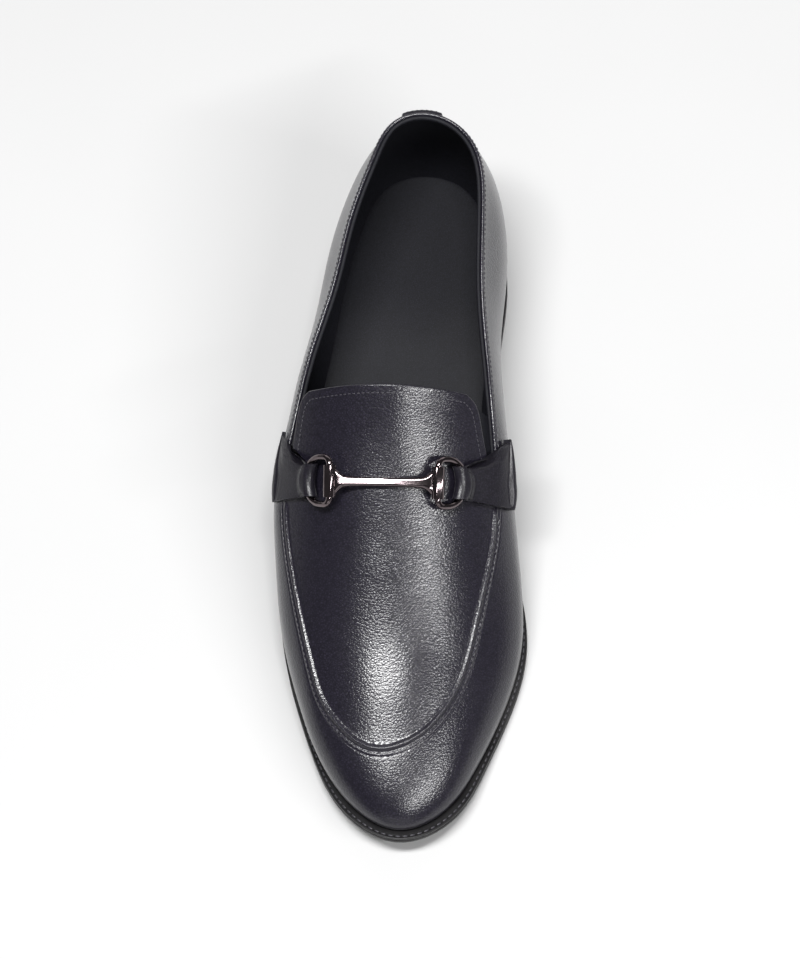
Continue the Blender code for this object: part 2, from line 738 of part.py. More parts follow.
def strap_skin(hand, wall_drop):
    """The face that a strap lies on: lines from inside the ring outwards, over the seam and down the wall."""
    leg, outward, width = ring_axes(hand)
    lines = []
    wires = []
    for q in np.linspace(-1.0, 1.0, STRAP_LINES):
        reach = width - RING_HALF_HIGH + math.sqrt(RING_HALF_HIGH**2 - (STRAP_HALF * q) ** 2)
        wire = leg + outward * reach + DOWN_AXIS * STRAP_HALF * q
        start = wire - RING_STAND * instep_normal(wire[0], wire[1])
        edge_start = EDGE(edge_at(hand, start[1]))[0]
        inside = abs(edge_start - start[0]) / math.cos(math.radians(45.0))
        turn = inside / (inside + wall_drop)
        flare = FLARE_FRONT * q if q > 0 else FLARE_BACK * q
        line = []
        for t in np.linspace(-0.35, 1.0, 46):
            along = start[1] + STRAP_SWEEP * max(t, 0.0) ** 1.3 + flare * max(t, 0.0) ** 2.0
            u = edge_at(hand, along)
            if t < turn:
                side = start[0] + (EDGE(u)[0] - start[0]) * t / turn
                line.append((side, along, float(instep_up(side, along))))
            else:
                drop = wall_drop * (t - turn) / (1.0 - turn)
                line.append(wall(u, below_edge(u, drop)))
        lines.append(line)
        wires.append(wire)
    return np.array(lines), np.array(wires)


def strap_solid(hand, wall_drop):
    """A strap that loops round its ring and ends in a roll down the side."""
    lines, wires = strap_skin(hand, wall_drop)
    out = ring_axes(hand)[1]
    up = np.cross(out, DOWN_AXIS)
    up *= math.copysign(1.0, up[2])
    ahead = np.gradient(lines, axis=1)
    aside = np.gradient(lines, axis=0)
    normals = np.cross(ahead, aside)
    normals /= np.linalg.norm(normals, axis=2, keepdims=True)
    if normals[0, 0, 2] < 0.0:
        normals = -normals
    loop_in = WIRE_RADIUS + LOOP_CLEAR
    loop_out = loop_in + LOOP_THICK
    sheet = Sheet()
    rings = []
    for index, q in enumerate(np.linspace(-1.0, 1.0, STRAP_LINES)):
        line = lines[index]
        normal = normals[index]
        wire = wires[index]
        arc = np.concatenate([[0.0], np.cumsum(np.linalg.norm(np.diff(line, axis=0), axis=1))])
        near = int(np.argmin(np.linalg.norm(line - wire, axis=1)))
        zero = arc[near]
        end = arc[-1] - zero - 1.2 * q * q
        roll = ROLL_HIGH * math.sqrt(max(0.0, 1.0 - 0.9 * q * q))

        def skin(a, height):
            place = np.array([np.interp(zero + a, arc, line[:, k]) for k in range(3)])
            lift = np.array([np.interp(zero + a, arc, normal[:, k]) for k in range(3)])
            return place + lift / np.linalg.norm(lift) * height

        stretch = 1.0 / math.sqrt(1.0 - (STRAP_HALF * q / RING_HALF_HIGH) ** 2)

        def loop(a, height):
            return wire + out * a * stretch + up * height

        def turn(radius, angles):
            return [loop(radius * math.cos(math.radians(t)), radius * math.sin(math.radians(t))) for t in angles]

        low = STRAP_GAP
        high = STRAP_GAP + STRAP_THICK
        profile = [skin(end * f + 6.6 * (1.0 - f), low) for f in (1.0, 0.75, 0.5, 0.25, 0.0)]
        profile.append(skin(4.6, 1.9))
        profile += turn(loop_in, (40.0, 75.0, 110.0, 145.0, 180.0, 215.0, 250.0, 285.0))
        profile += [loop(1.7, -loop_in + 0.1), loop(1.7, -loop_out + 0.2)]
        profile += turn(loop_out, (272.0, 240.0, 205.0, 170.0, 135.0, 100.0, 62.0))
        profile += [skin(4.9, 3.9), skin(6.8, high + 0.2)]
        profile += [skin(end * f + 6.6 * (1.0 - f), high) for f in (0.25, 0.5)]
        profile += [skin(end - 4.4, high), skin(end - 3.2, high + 0.75 * roll), skin(end - 1.7, high + roll)]
        profile += [skin(end - 0.4, high + 0.5 * roll), skin(end + 0.1, 0.5 * (low + high))]
        rings.append(sheet.add_row(profile))
    for first, second in zip(rings, rings[1:]):
        sheet.loop_strip(first, second)
    sheet.faces.append(tuple(rings[0]))
    sheet.faces.append(tuple(rings[-1]))
    return np.array(sheet.points), sheet.faces


def wall_normal(u, v):
    """Unit normal of the wall's outer face."""
    around = wall(u + 0.4, v) - wall(u - 0.4, v)
    upward = wall(u, v) - wall(u, v - 0.02)
    normal = np.cross(upward, around)
    return normal / np.linalg.norm(normal)


def gusset_solid(hand):
    """A thin strip from under the tongue's edge down inside the quarter."""
    under = WALL + GAP
    key = "lateral" if hand < 0 else "medial"
    knots = [getattr(row, key + "_along") for row in TONGUE][::-1] + [149.0]
    sides = [getattr(row, key + "_side") for row in TONGUE][::-1] + [EDGE(edge_at(hand, 149.0))[0]]
    rows = []
    for along in np.linspace(128.6, 150.5, 8):
        line = []
        tongue_edge = np.interp(along, knots, sides)
        for inset in (7.0, 3.5, 0.8):
            side = tongue_edge - hand * inset
            surface = np.array([side, along, float(instep_up(side, along))])
            line.append(surface - under * instep_normal(side, along))
        u = edge_at(hand, along)
        for drop in (1.2, 5.0, 9.0):
            v = below_edge(u, drop)
            line.append(wall(u, v) - (under + 0.1) * wall_normal(u, v))
        rows.append(line)
    high = np.array(rows)
    ahead = np.gradient(high, axis=1)
    aside = np.gradient(high, axis=0)
    normals = np.cross(ahead, aside)
    normals /= np.linalg.norm(normals, axis=2, keepdims=True)
    if normals[0, 0, 2] > 0.0:
        normals = -normals
    return plate(high + normals * 1.0, high)


def material(name):
    """A material from the table of looks."""
    found = bpy.data.materials.get(name)
    if found:
        return found
    made = bpy.data.materials.new(name)
    made.use_nodes = True
    shader = made.node_tree.nodes["Principled BSDF"]
    look = LOOKS[name]
    shader.inputs["Base Color"].default_value = (*look.colour, 1.0)
    shader.inputs["Roughness"].default_value = look.roughness
    shader.inputs["Metallic"].default_value = look.metallic
    return made


PIECES = [
    ("outsole", outsole_solid(), "sole_leather"),
    ("welt", welt_solid(), "sole_leather"),
    ("insole", insole_solid(), "lining_leather"),
    ("heel", heel_solid(), "sole_leather"),
    ("heel_top_lift", lift_solid(), "lift_rubber"),
    ("upper", upper_solid(), "upper_leather"),
    ("heel_tab", tab_solid(), "upper_leather"),
    ("gusset_lateral", gusset_solid(-1), "lining_leather"),
    ("gusset_medial", gusset_solid(1), "lining_leather"),
    ("strap_lateral", strap_solid(-1, 6.5), "upper_leather"),
    ("strap_medial", strap_solid(1, 9.0), "upper_leather"),
    ("ring_lateral", ring_solid(-1), "dark_metal"),
    ("ring_medial", ring_solid(1), "dark_metal"),
    ("bit_bar", bar_solid(), "dark_metal"),
]

# Centre of the shoe's box in plan, which becomes the origin
BOX_POINTS = np.concatenate([points for name, (points, faces), look in PIECES])
MIDDLE_SIDE = 0.5 * (BOX_POINTS[:, 0].min() + BOX_POINTS[:, 0].max())
MIDDLE_ALONG = 0.5 * (BOX_POINTS[:, 1].min() + BOX_POINTS[:, 1].max())


def place(name, solid, look):
    """An object from a solid in millimetres, with its faces turned outwards."""
    points, faces = solid
    moved = np.column_stack([points[:, 0] - MIDDLE_SIDE, MIDDLE_ALONG - points[:, 1], points[:, 2]]) / 1000.0
    mesh = bpy.data.meshes.new(name)
    mesh.from_pydata([tuple(p) for p in moved], [], faces)
    shape = bmesh.new()
    shape.from_mesh(mesh)
    bmesh.ops.triangulate(shape, faces=[f for f in shape.faces if len(f.verts) > 3])
    bmesh.ops.recalc_face_normals(shape, faces=shape.faces)
    shape.to_mesh(mesh)
    shape.free()
    mesh.shade_smooth()
    mesh.set_sharp_from_angle(angle=math.radians(40.0))
    mesh.materials.append(material(look))
    made = bpy.data.objects.new(name, mesh)
    bpy.context.scene.collection.objects.link(made)
    return made


def join_by_boolean(target, cutter, operation):
    """Adds a cutter to a target, or takes it away."""
    cutter.hide_render = True
    cutter.display_type = "WIRE"
    cut = target.modifiers.new(cutter.name, "BOOLEAN")
    cut.operation = operation
    cut.solver = "EXACT"
    cut.object = cutter


OBJECTS = {name: place(name, solid, look) for name, solid, look in PIECES}
for hand, side_name in ((-1, "lateral"), (1, "medial")):
    barrel = place("barrel_" + side_name, barrel_solid(hand, BARREL_RADIUS, BARREL_LENGTH), "dark_metal")
    join_by_boolean(OBJECTS["bit_bar"], barrel, "UNION")
for hand, side_name in ((-1, "lateral"), (1, "medial")):
    bore = place("bore_" + side_name, barrel_solid(hand, BORE_RADIUS, BARREL_LENGTH + 8.0), "dark_metal")
    join_by_boolean(OBJECTS["bit_bar"], bore, "DIFFERENCE")
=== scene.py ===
from collections import namedtuple
import math

import bmesh
import bpy
from mathutils import Matrix, Vector
from mathutils.kdtree import KDTree
import numpy as np


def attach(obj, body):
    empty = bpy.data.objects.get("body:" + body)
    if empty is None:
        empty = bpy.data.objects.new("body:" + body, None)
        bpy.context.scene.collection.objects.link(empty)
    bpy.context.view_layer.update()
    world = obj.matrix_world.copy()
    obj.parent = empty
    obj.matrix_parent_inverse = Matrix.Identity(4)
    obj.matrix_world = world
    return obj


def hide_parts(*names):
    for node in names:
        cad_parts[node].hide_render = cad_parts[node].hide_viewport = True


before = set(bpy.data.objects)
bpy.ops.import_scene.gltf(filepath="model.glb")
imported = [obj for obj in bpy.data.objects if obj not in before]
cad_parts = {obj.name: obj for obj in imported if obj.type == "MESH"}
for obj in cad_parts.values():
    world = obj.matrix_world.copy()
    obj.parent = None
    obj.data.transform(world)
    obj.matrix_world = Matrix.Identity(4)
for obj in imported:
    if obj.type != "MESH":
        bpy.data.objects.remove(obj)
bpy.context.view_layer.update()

BODY = "root"

# The middle of the shoe's outline, in millimetres from the heel
MIDDLE_SIDE = -3.5702
MIDDLE_ALONG = 144.3540

# Sizes shared with the solids, in millimetres
WALL = 2.0
GAP = 0.35
HEEL_HEIGHT = 21.0
TOE_SPRING = 9.0
TREAD_BACK = 182.0
TREAD_FRONT = 226.0
SEAT_FRONT = 52.0
TOE_END = 286.0
OUTSOLE_THICK = 3.0
WELT_THICK = 1.7
WELT_OUT = 2.6
WELT_OUT_TOE = 4.0
WELT_WIDENS_FROM = 235.0
WELT_WIDENS_OVER = 50.0
INSOLE_THICK = 3.2
LIFT_THICK = 6.0
BREAST = 75.0
BREAST_HOLLOW = 4.0
HEEL_INSET = 0.9
HEEL_TAPER = 1.6
FOOT_UP = OUTSOLE_THICK + GAP + WELT_THICK + GAP
BIT_ALONG = 162.0
BIT_SIDE_SHIFT = -0.5
BIT_HALF = 21.2
BAR_CLEAR = 2.35
BARREL_RADIUS = 2.5
BARREL_LENGTH = 12.6
BORE_RADIUS = 1.65
WIRE_RADIUS = 1.3
RING_HALF_HIGH = 9.2
RING_CORNER = 3.0
RING_REACH = 8.2
RING_STAND = 3.35
STRAP_HALF = 6.2
STRAP_THICK = 1.4
LOOP_THICK = 1.0
LOOP_CLEAR = 0.5
STRAP_GAP = 0.35
STRAP_SWEEP = -5.0
SWEEP_CURVE = 1.3
SKIN_SLOPE = 45.0
FLARE_BACK = 14.0
FLARE_FRONT = 1.0
FLARE_CURVE = 3.6
FOLD_SHARE = 0.7
LOOP_JOIN = 6.6
LOOP_TAIL = 1.7
LOOP_FALL = 4.2
END_BOW = 1.2
ROLL_LEAST = 0.35
ROLL_BOW = 0.9
SIDE_SHRINK = 0.55
SIDE_ROUND = 0.28

# Values that differ by side: -1 is the outer side of the foot and 1 the inner
SIDES = {-1: "lateral", 1: "medial"}
ROLL_HIGH = {-1: 0.5, 1: 1.5}
STRAP_WEDGE = {-1: 1.7, 1: 1.1}
END_LIFT = {-1: 0.0, 1: 1.6}
STRAP_DROP = {-1: 6.5, 1: 8.2}

# The roll at a strap's side end: distance before the end, and share of the roll's height
ROLL_SHAPE = [(5.0, 0.0), (4.6, 0.1), (4.2, 0.1), (3.9, -0.24), (3.65, -0.1),
              (3.2, 0.5), (2.5, 0.9), (1.7, 1.0), (0.9, 0.8), (0.3, 0.4)]

# Seams, folds and threads that only show here
SEAM_FROM = 160.5
CREST_HIGH = 0.8
CREST_WIDE = 0.95
GROOVE_DEEP = 0.14
GROOVE_AT = 1.3
GROOVE_WIDE = 0.6
RIDGE_HIGH = 0.12
RIDGE_AT = 2.45
RIDGE_WIDE = 0.6
CREASE_DEEP = 0.12
CREASE_AT = 3.3
CREASE_WIDE = 0.35
FADE = 4.0
LIP_FROM = 150.0
LIP_RADIUS = 0.75
LIP_LEAST = 0.25
LIP_TAIL = 1.1
FOLD_HIGH = 0.35
FOLD_WIDE = 2.6
BINDING_RADIUS = 0.85
BINDING_IN = 1.95
BINDING_TAIL = 0.8
TONGUE_ROUND = 1.0
TONGUE_BULGE = 0.55

# Threads: sizes of a stitch, and where the rows run
Stitch = namedtuple("Stitch", "length pitch wide high")
COLLAR_STITCH = Stitch(1.4, 2.0, 0.22, 0.16)
SEAM_STITCH = Stitch(1.6, 2.35, 0.24, 0.17)
TONGUE_STITCH = Stitch(1.3, 1.9, 0.2, 0.14)
TAB_STITCH = Stitch(1.3, 1.9, 0.2, 0.15)
WELT_STITCH = Stitch(2.1, 2.9, 0.3, 0.22)
SOLE_STITCH = Stitch(2.6, 3.6, 0.3, 0.16)
SEW_MARGIN = 0.6
COLLAR_SEWN_TO = 146.0
COLLAR_SEWN_UNDER = 1.2
TONGUE_SEWN_TO = 148.0
TONGUE_SEWN_IN = 2.9
WELT_SEWN_AT = -1.25
SOLE_SEWN_AT = -6.0

# A stitch from end to end: place along it, share of its width, and rise for a stitch STITCH_HIGH high
STITCH_HIGH = 0.24
STITCH_SHAPE = [(0.0, 0.35, -0.3), (0.1, 0.8, 0.02), (0.3, 1.0, 0.12), (0.5, 1.0, 0.14),
                (0.7, 1.0, 0.12), (0.9, 0.8, 0.02), (1.0, 0.35, -0.3)]

# The lining near the collar: distance under the edge and depth inside the wall's outer face
LINING_TOP = [(1.4, 2.85), (2.4, 2.75), (3.4, 2.45), (4.6, 2.15), (6.0, 2.0)]

# Channel under the sole: distance outside the sole's edge and height
CHANNEL = [(-7.2, 0.0), (-6.5, 0.0), (-6.35, 0.25), (-5.65, 0.25), (-5.5, 0.0)]

# The tab on the back of the collar: its lower and upper end are distances under the edge
TAB_HALF = 11.0
TAB_LOW = 20.0
TAB_HIGH = 0.9
TAB_GAP = 0.1
TAB_THICK = 1.2
TAB_RIM_SHARE = 0.45

# Lifts of the heel: their number, and share of a lift's height with the depth of its groove there
HEEL_LIFTS = 3
LIFT_SHAPE = [(0.02, 0.22), (0.08, 0.04), (0.2, 0.0), (0.8, 0.0), (0.92, 0.04), (0.98, 0.22)]

# Flat faces along the bit's metal, in degrees: the rod's leans to the heel, the barrels' lean outwards
ROD_FACE_TURN = 10.0
ROD_FACE_TWIST = 5.0
ROD_FACE_HALF = 34.0
BARREL_FACE_TURN = 18.0
BARREL_FACE_HALF = 30.0

Station = namedtuple("Station", "foot_along foot_side lean edge_along edge_side edge_up edge_slope",
                     defaults=(None, None))
HEEL = Station(2.5, 0.8, 5.0, 6.5, 1.0, 85.0, 82.0)
TOE = Station(TOE_END, 0.0, 2.0, 257.6, -4.5)
LATERAL = [
    Station(8.0, -16.0, 5.0, 10.5, -10.5, 84.0, 80.0),
    Station(28.0, -26.5, 6.0, 26.0, -18.5, 82.0, 78.0),
    Station(52.0, -32.0, 6.2, 49.0, -26.2, 77.0, 76.0),
    Station(80.0, -36.0, 5.8, 77.0, -32.3, 71.0, 73.0),
    Station(112.0, -42.0, 4.5, 108.0, -41.2, 64.0, 66.0),
    Station(132.0, -45.8, 3.0, 128.0, -45.0, 60.0, 60.0),
    Station(152.0, -48.9, 1.4, 149.0, -48.8),
    Station(178.0, -50.2, 1.2, 171.0, -49.2),
    Station(206.0, -47.5, 2.3, 198.0, -44.1),
    Station(235.0, -39.8, 2.0, 226.0, -37.0),
    Station(260.0, -29.5, 2.0, 243.5, -28.9),
    Station(277.0, -17.4, 2.0, 254.5, -16.5),
]
MEDIAL = [
    Station(8.0, 17.0, 5.0, 9.5, 13.0, 84.0, 80.0),
    Station(28.0, 28.5, 5.0, 24.0, 24.3, 82.0, 78.0),
    Station(52.0, 33.0, 4.2, 48.0, 26.8, 77.0, 76.0),
    Station(80.0, 31.2, 4.2, 77.0, 27.2, 70.5, 73.0),
    Station(112.0, 28.5, 6.0, 107.0, 30.2, 63.5, 66.0),
    Station(132.0, 30.0, 6.0, 128.0, 32.5, 59.5, 60.0),
    Station(152.0, 33.8, 5.0, 149.0, 34.4),
    Station(178.0, 41.0, 3.6, 171.0, 35.0),
    Station(206.0, 44.8, 2.0, 198.0, 32.1),
    Station(235.0, 38.2, 1.8, 224.0, 25.9),
    Station(260.0, 27.9, 1.8, 241.5, 18.0),
    Station(277.0, 17.5, 1.8, 252.5, 8.5),
]
THROAT_STATION = 7
THROAT_ALONG = 149.0

# How the wall curves from foot to edge: the foot's pull outwards and up, the edge's pull by span and by rise
FOOT_OUT = 1.9
FOOT_RISE = 0.42
EDGE_SPAN = 0.5
EDGE_RISE = 0.3

# How far the seam's crest lies outside the upper edge of the wall, or inside it below 0, at each station from
# the outer throat round the toe to the inner throat
CREST_SHIFT = [-1.8, -1.85, -1.5, -1.7, -0.6, 1.25, 0.8, -0.85, -1.5, -2.2, -3.4, -1.35, -1.0]

DROP_AT = 30.0
Instep = namedtuple("Instep", "along ridge_up drop ridge_side")
INSTEP = [
    Instep(95.0, 104.0, 13.0, -8.0),
    Instep(115.0, 95.0, 13.0, -8.0),
    Instep(130.0, 87.0, 13.0, -8.0),
    Instep(145.0, 77.5, 12.5, -8.0),
    Instep(160.0, 69.5, 12.0, -8.0),
    Instep(176.0, 62.0, 11.8, -7.5),
    Instep(200.0, 52.0, 11.3, -7.0),
    Instep(225.0, 42.5, 11.0, -6.0),
    Instep(250.0, 34.3, 10.8, -5.0),
    Instep(275.0, 27.0, 10.5, -4.5),
]

TongueRow = namedtuple("TongueRow", "lateral_side lateral_along medial_side medial_along middle_along")
TONGUE = [
    TongueRow(-48.8, 149.0, 34.4, 149.0, 149.0),
    TongueRow(-46.6, 147.0, 31.6, 147.0, 147.0),
    TongueRow(-45.4, 142.0, 29.9, 142.0, 142.5),
    TongueRow(-44.5, 136.5, 28.6, 136.5, 138.0),
    TongueRow(-43.2, 131.0, 27.3, 131.5, 134.0),
    TongueRow(-41.6, 128.2, 25.6, 128.8, 131.0),
    TongueRow(-39.3, 126.9, 22.8, 127.2, 129.3),
]

Neck = namedtuple("Neck", "from_axis half_wide half_high")
NECK = [
    Neck(1.95, 5.4, 1.3),
    Neck(3.1, 4.2, 1.75),
    Neck(4.6, 2.9, 1.9),
    Neck(6.8, 2.2, 1.95),
    Neck(10.5, 1.95, 1.9),
    Neck(BIT_HALF, 1.85, 1.85),
]

# Soft creases across the vamp: middle, half length and width, depth (a ridge if below 0) and turn in degrees
Crease = namedtuple("Crease", "along side half_long half_wide deep turn")
CREASES = [
    Crease(183.0, 8.0, 26.0, 5.0, 0.05, 4.0),
    Crease(193.0, -10.0, 30.0, 4.5, -0.04, -3.0),
    Crease(201.0, 10.0, 24.0, 4.0, 0.05, 5.0),
    Crease(221.0, 12.0, 14.0, 4.0, 0.04, 8.0),
    Crease(139.0, -2.0, 26.0, 5.0, 0.04, 2.0),
]

# The plug's shallow dip behind the toes, at its middle line
DIP_ALONG = [150.0, 170.0, 188.0, 206.0, 222.0, 238.0, 252.0, 262.0]
DIP_DEEP = [0.0, 0.0, 0.43, 1.0, 0.9, 0.02, 0.0, 0.0]

# Steps of the grids, and the width of the apron's fine steps beside its seam
QUARTER_STEPS = 150
VAMP_STEPS = 170
SEAM_ZONE = 6.0
SEAM_STEPS = 30
HALF_STEPS = 52
ACROSS = 2 * HALF_STEPS
TONGUE_STEPS = 44
WALL_STEPS = 90
RING_STEPS = 260
HEEL_COLUMNS = 21
HEEL_ROWS = 44
STRAP_LINES = 33

# Distances under the edge where the wall's rows lie close, and how its foot tucks down behind the welt's top
NEAR_EDGE = [*np.linspace(0.0, 5.4, 31), 6.0, 7.0]
FOOT_SINK = GAP + 0.1
FOOT_TUCK = 0.35

# Step for the slope of a surface, in millimetres
PROBE = 0.05

# Points closer than this are one, and edges shorter than this go, in metres
MERGE = 2e-6
FLAT = 1e-6


def smooth(t):
    """A soft step from 0 to 1 as t goes from 0 to 1."""
    t = np.clip(t, 0.0, 1.0)
    return t * t * t * (t * (6.0 * t - 15.0) + 10.0)


def ramp(t):
    """A straight fall from 1 to 0 with a softened end."""
    return 0.5 * (1.0 - t + math.sqrt((1.0 - t) ** 2 + 0.01))


class Spline:
    """A natural cubic curve through values at knots, closed when a period is given."""

    def __init__(self, knots, values, period=None, wrap=4):
        knots = np.asarray(knots, float)
        values = np.asarray(values, float)
        self.period = period
        if period is not None:
            knots = np.concatenate([knots[-wrap:] - period, knots, knots[:wrap] + period])
            values = np.concatenate([values[-wrap:], values, values[:wrap]])
        self.knots = knots
        self.values = values
        self.bends = self.solve_bends()

    def solve_bends(self):
        """Second derivatives at the knots."""
        count = len(self.knots)
        step = np.diff(self.knots)
        matrix = np.eye(count)
        right = np.zeros(self.values.shape)
        for i in range(1, count - 1):
            matrix[i, i - 1:i + 2] = (step[i - 1], 2 * (step[i - 1] + step[i]), step[i])
            after = (self.values[i + 1] - self.values[i]) / step[i]
            before = (self.values[i] - self.values[i - 1]) / step[i - 1]
            right[i] = 6 * (after - before)
        return np.linalg.solve(matrix, right.reshape(count, -1)).reshape(self.values.shape)

    def __call__(self, t):
        t = np.asarray(t, float)
        if self.period is not None:
            t = np.mod(t, self.period)
        i = np.clip(np.searchsorted(self.knots, t, side="right") - 1, 0, len(self.knots) - 2)
        step = self.knots[i + 1] - self.knots[i]
        a = (self.knots[i + 1] - t) / step
        b = 1.0 - a
        if self.values.ndim > 1:
            a = a[..., None]
            b = b[..., None]
            step = step[..., None]
        bend = (a**3 - a) * self.bends[i] + (b**3 - b) * self.bends[i + 1]
        return a * self.values[i] + b * self.values[i + 1] + bend * step**2 / 6.0


INSTEP_CURVE = Spline([row.along for row in INSTEP], [row[1:] for row in INSTEP])


def instep_up(plan):
    """Height of the instep's top surface over plan points."""
    ridge, drop, middle = np.moveaxis(INSTEP_CURVE(plan[..., 1]), -1, 0)
    return ridge - drop * ((plan[..., 0] - middle) / DROP_AT) ** 2


def on_instep(plan):
    """Plan points raised to the instep's surface."""
    return np.concatenate([plan, instep_up(plan)[..., None]], axis=-1)


def tread_up(along):
    """Height of the sole's underside: seat, waist, flat tread and toe spring."""
    along = np.asarray(along, float)
    waist = HEEL_HEIGHT * smooth((TREAD_BACK - along) / (TREAD_BACK - SEAT_FRONT))
    toe = TOE_SPRING * np.clip((along - TREAD_FRONT) / (TOE_END - TREAD_FRONT), 0.0, None) ** 2
    return waist + toe


STATIONS = [HEEL] + LATERAL + [TOE] + MEDIAL[::-1]
FOOT_POINTS = np.array([(s.foot_side, s.foot_along) for s in STATIONS])
EDGE_POINTS = np.array([(s.edge_side, s.edge_along) for s in STATIONS])
CHORDS = np.linalg.norm(np.roll(FOOT_POINTS, -1, axis=0) - FOOT_POINTS, axis=1)
ROUND = CHORDS.sum()
KNOTS = np.concatenate([[0.0], np.cumsum(CHORDS)[:-1]])
THROAT_LATERAL = KNOTS[THROAT_STATION]
THROAT_MEDIAL = KNOTS[len(STATIONS) - THROAT_STATION]
TOE_AT = KNOTS[len(LATERAL) + 1]
FOOT = Spline(KNOTS, FOOT_POINTS, ROUND)
EDGE = Spline(KNOTS, EDGE_POINTS, ROUND)
LEAN = Spline(KNOTS, [s.lean for s in STATIONS], ROUND)
SEAM_SHIFT = Spline(KNOTS[THROAT_STATION:len(STATIONS) - THROAT_STATION + 1], CREST_SHIFT)


def unit(vectors):
    """Vectors brought to length one."""
    return vectors / np.maximum(np.linalg.norm(vectors, axis=-1, keepdims=True), 1e-9)


def run_along(points):
    """Distance of each point of a line from its start."""
    return np.concatenate([[0.0], np.cumsum(np.linalg.norm(np.diff(points, axis=0), axis=1))])


def straight(start, end, share):
    """Points on the straight from start to end, by share of the way."""
    return start[None] + share * (end - start)[None]


def circle(count):
    """Angles once round."""
    return np.linspace(0.0, 2.0 * math.pi, count, endpoint=False)


def rolled(centre, across, up, angles):
    """Rows of a roll about a line of centres, from across towards up, one for each angle in degrees."""
    return [centre + math.cos(a) * across + math.sin(a) * up for a in np.radians(angles)]


def border(grid):
    """The rim of a grid, once round."""
    return np.concatenate([grid[0], grid[1:-1, -1], grid[-1, ::-1], grid[1:-1, 0][::-1]])


def plan_normal(curve, u):
    """Outward direction, in plan, of a ring."""
    ahead = curve(u + 0.3) - curve(u - 0.3)
    return unit(np.stack([-ahead[..., 1], ahead[..., 0]], axis=-1))


def station_edge(station, u):
    """Height and slope of a station's upper edge."""
    if station.edge_up is not None:
        return station.edge_up, station.edge_slope
    here = np.array([station.edge_side, station.edge_along])
    step = PROBE * plan_normal(EDGE, np.array(u))
    fall = (instep_up(here - step) - instep_up(here + step)) / (2 * PROBE)
    return instep_up(here), math.degrees(math.atan(fall))


EDGE_SHAPE = Spline(KNOTS, [station_edge(s, u) for s, u in zip(STATIONS, KNOTS)], ROUND)


def on_seam(u):
    """True along the apron seam, false along the collar."""
    u = np.mod(u, ROUND)
    return (u >= THROAT_LATERAL) & (u <= THROAT_MEDIAL)


def edge_up(u):
    """Height of the wall's upper edge."""
    return np.where(on_seam(u), instep_up(EDGE(u)), EDGE_SHAPE(u)[..., 0])


def wall(u, v):
    """A point of the wall's outer face, v = 0 at the foot and 1 at the upper edge."""
    u, v = np.broadcast_arrays(np.asarray(u, float), np.asarray(v, float))
    foot = FOOT(u)
    edge = EDGE(u)
    foot_up = tread_up(foot[..., 1]) + FOOT_UP
    top = edge_up(u)
    rise = top - foot_up
    span = np.linalg.norm(foot - edge, axis=-1)
    slope = np.radians(EDGE_SHAPE(u)[..., 1])
    reach = np.hypot(EDGE_SPAN * span, EDGE_RISE * rise)
    start = np.concatenate([foot, foot_up[..., None]], axis=-1)
    end = np.concatenate([edge, top[..., None]], axis=-1)
    out_low = plan_normal(FOOT, u) * (FOOT_OUT * LEAN(u))[..., None]
    out_high = plan_normal(EDGE, u) * (reach * np.cos(slope))[..., None]
    low = start + np.concatenate([out_low, (FOOT_RISE * rise)[..., None]], axis=-1)
    high = end + np.concatenate([out_high, (-reach * np.sin(slope))[..., None]], axis=-1)
    v = v[..., None]
    w = 1.0 - v
    return w**3 * start + 3 * w**2 * v * low + 3 * w * v**2 * high + v**3 * end


class WallMap:
    """The wall by distance under its upper edge, at given samples of u."""

    def __init__(self, u):
        self.u = np.asarray(u, float)
        self.v = np.linspace(1.0, 0.0, WALL_STEPS)
        points = wall(self.u[:, None], self.v[None])
        steps = np.linalg.norm(np.diff(points, axis=1), axis=2)
        self.depth = np.concatenate([np.zeros((len(self.u), 1)), np.cumsum(steps, axis=1)], axis=1)
        self.full = self.depth[:, -1]

    def share(self, distance):
        """The v of a distance under the edge, one for each u."""
        distance = np.broadcast_to(distance, self.u.shape)
        return np.array([np.interp(d, row, self.v) for d, row in zip(distance, self.depth)])

    def frame(self, distance):
        """Points, outward normals and upward tangents at a distance under the edge."""
        v = self.share(distance)
        around = wall(self.u + 0.4, v) - wall(self.u - 0.4, v)
        upward = unit(wall(self.u, v + 0.004) - wall(self.u, v - 0.004))
        return wall(self.u, v), unit(np.cross(upward, around)), upward


def instep_normal(plan):
    """Unit normals of the instep's surface over plan points."""
    steps = PROBE * np.eye(2)
    over, down = [(instep_up(plan + step) - instep_up(plan - step)) / (2 * PROBE) for step in steps]
    return unit(np.stack([-over, -down, np.ones_like(over)], axis=-1))


def creases(points):
    """How far soft creases and ridges lift or sink the leather at points."""
    total = np.zeros(points.shape[:-1])
    for c in CREASES:
        turn = math.radians(c.turn)
        across = points[..., 0] - c.side
        down = points[..., 1] - c.along
        a = (across * math.cos(turn) + down * math.sin(turn)) / c.half_long
        b = (down * math.cos(turn) - across * math.sin(turn)) / c.half_wide
        total -= c.deep * np.exp(-a**2 - b**2)
    return total


def plug_dip(points):
    """How far the plug sinks below the plain instep, nothing at its seam."""
    u = np.linspace(THROAT_LATERAL, THROAT_MEDIAL, 1200)
    edge = EDGE(u)
    outer = edge[u <= TOE_AT]
    inner = edge[u > TOE_AT][::-1]
    along = points[..., 1]
    low = np.interp(along, outer[:, 1], outer[:, 0])
    high = np.interp(along, inner[:, 1], inner[:, 0])
    s = (points[..., 0] - 0.5 * (low + high)) / np.maximum(0.5 * (high - low), 1.0)
    return Spline(DIP_ALONG, DIP_DEEP)(along) * np.clip(1.0 - s * s, 0.0, None) ** 1.5


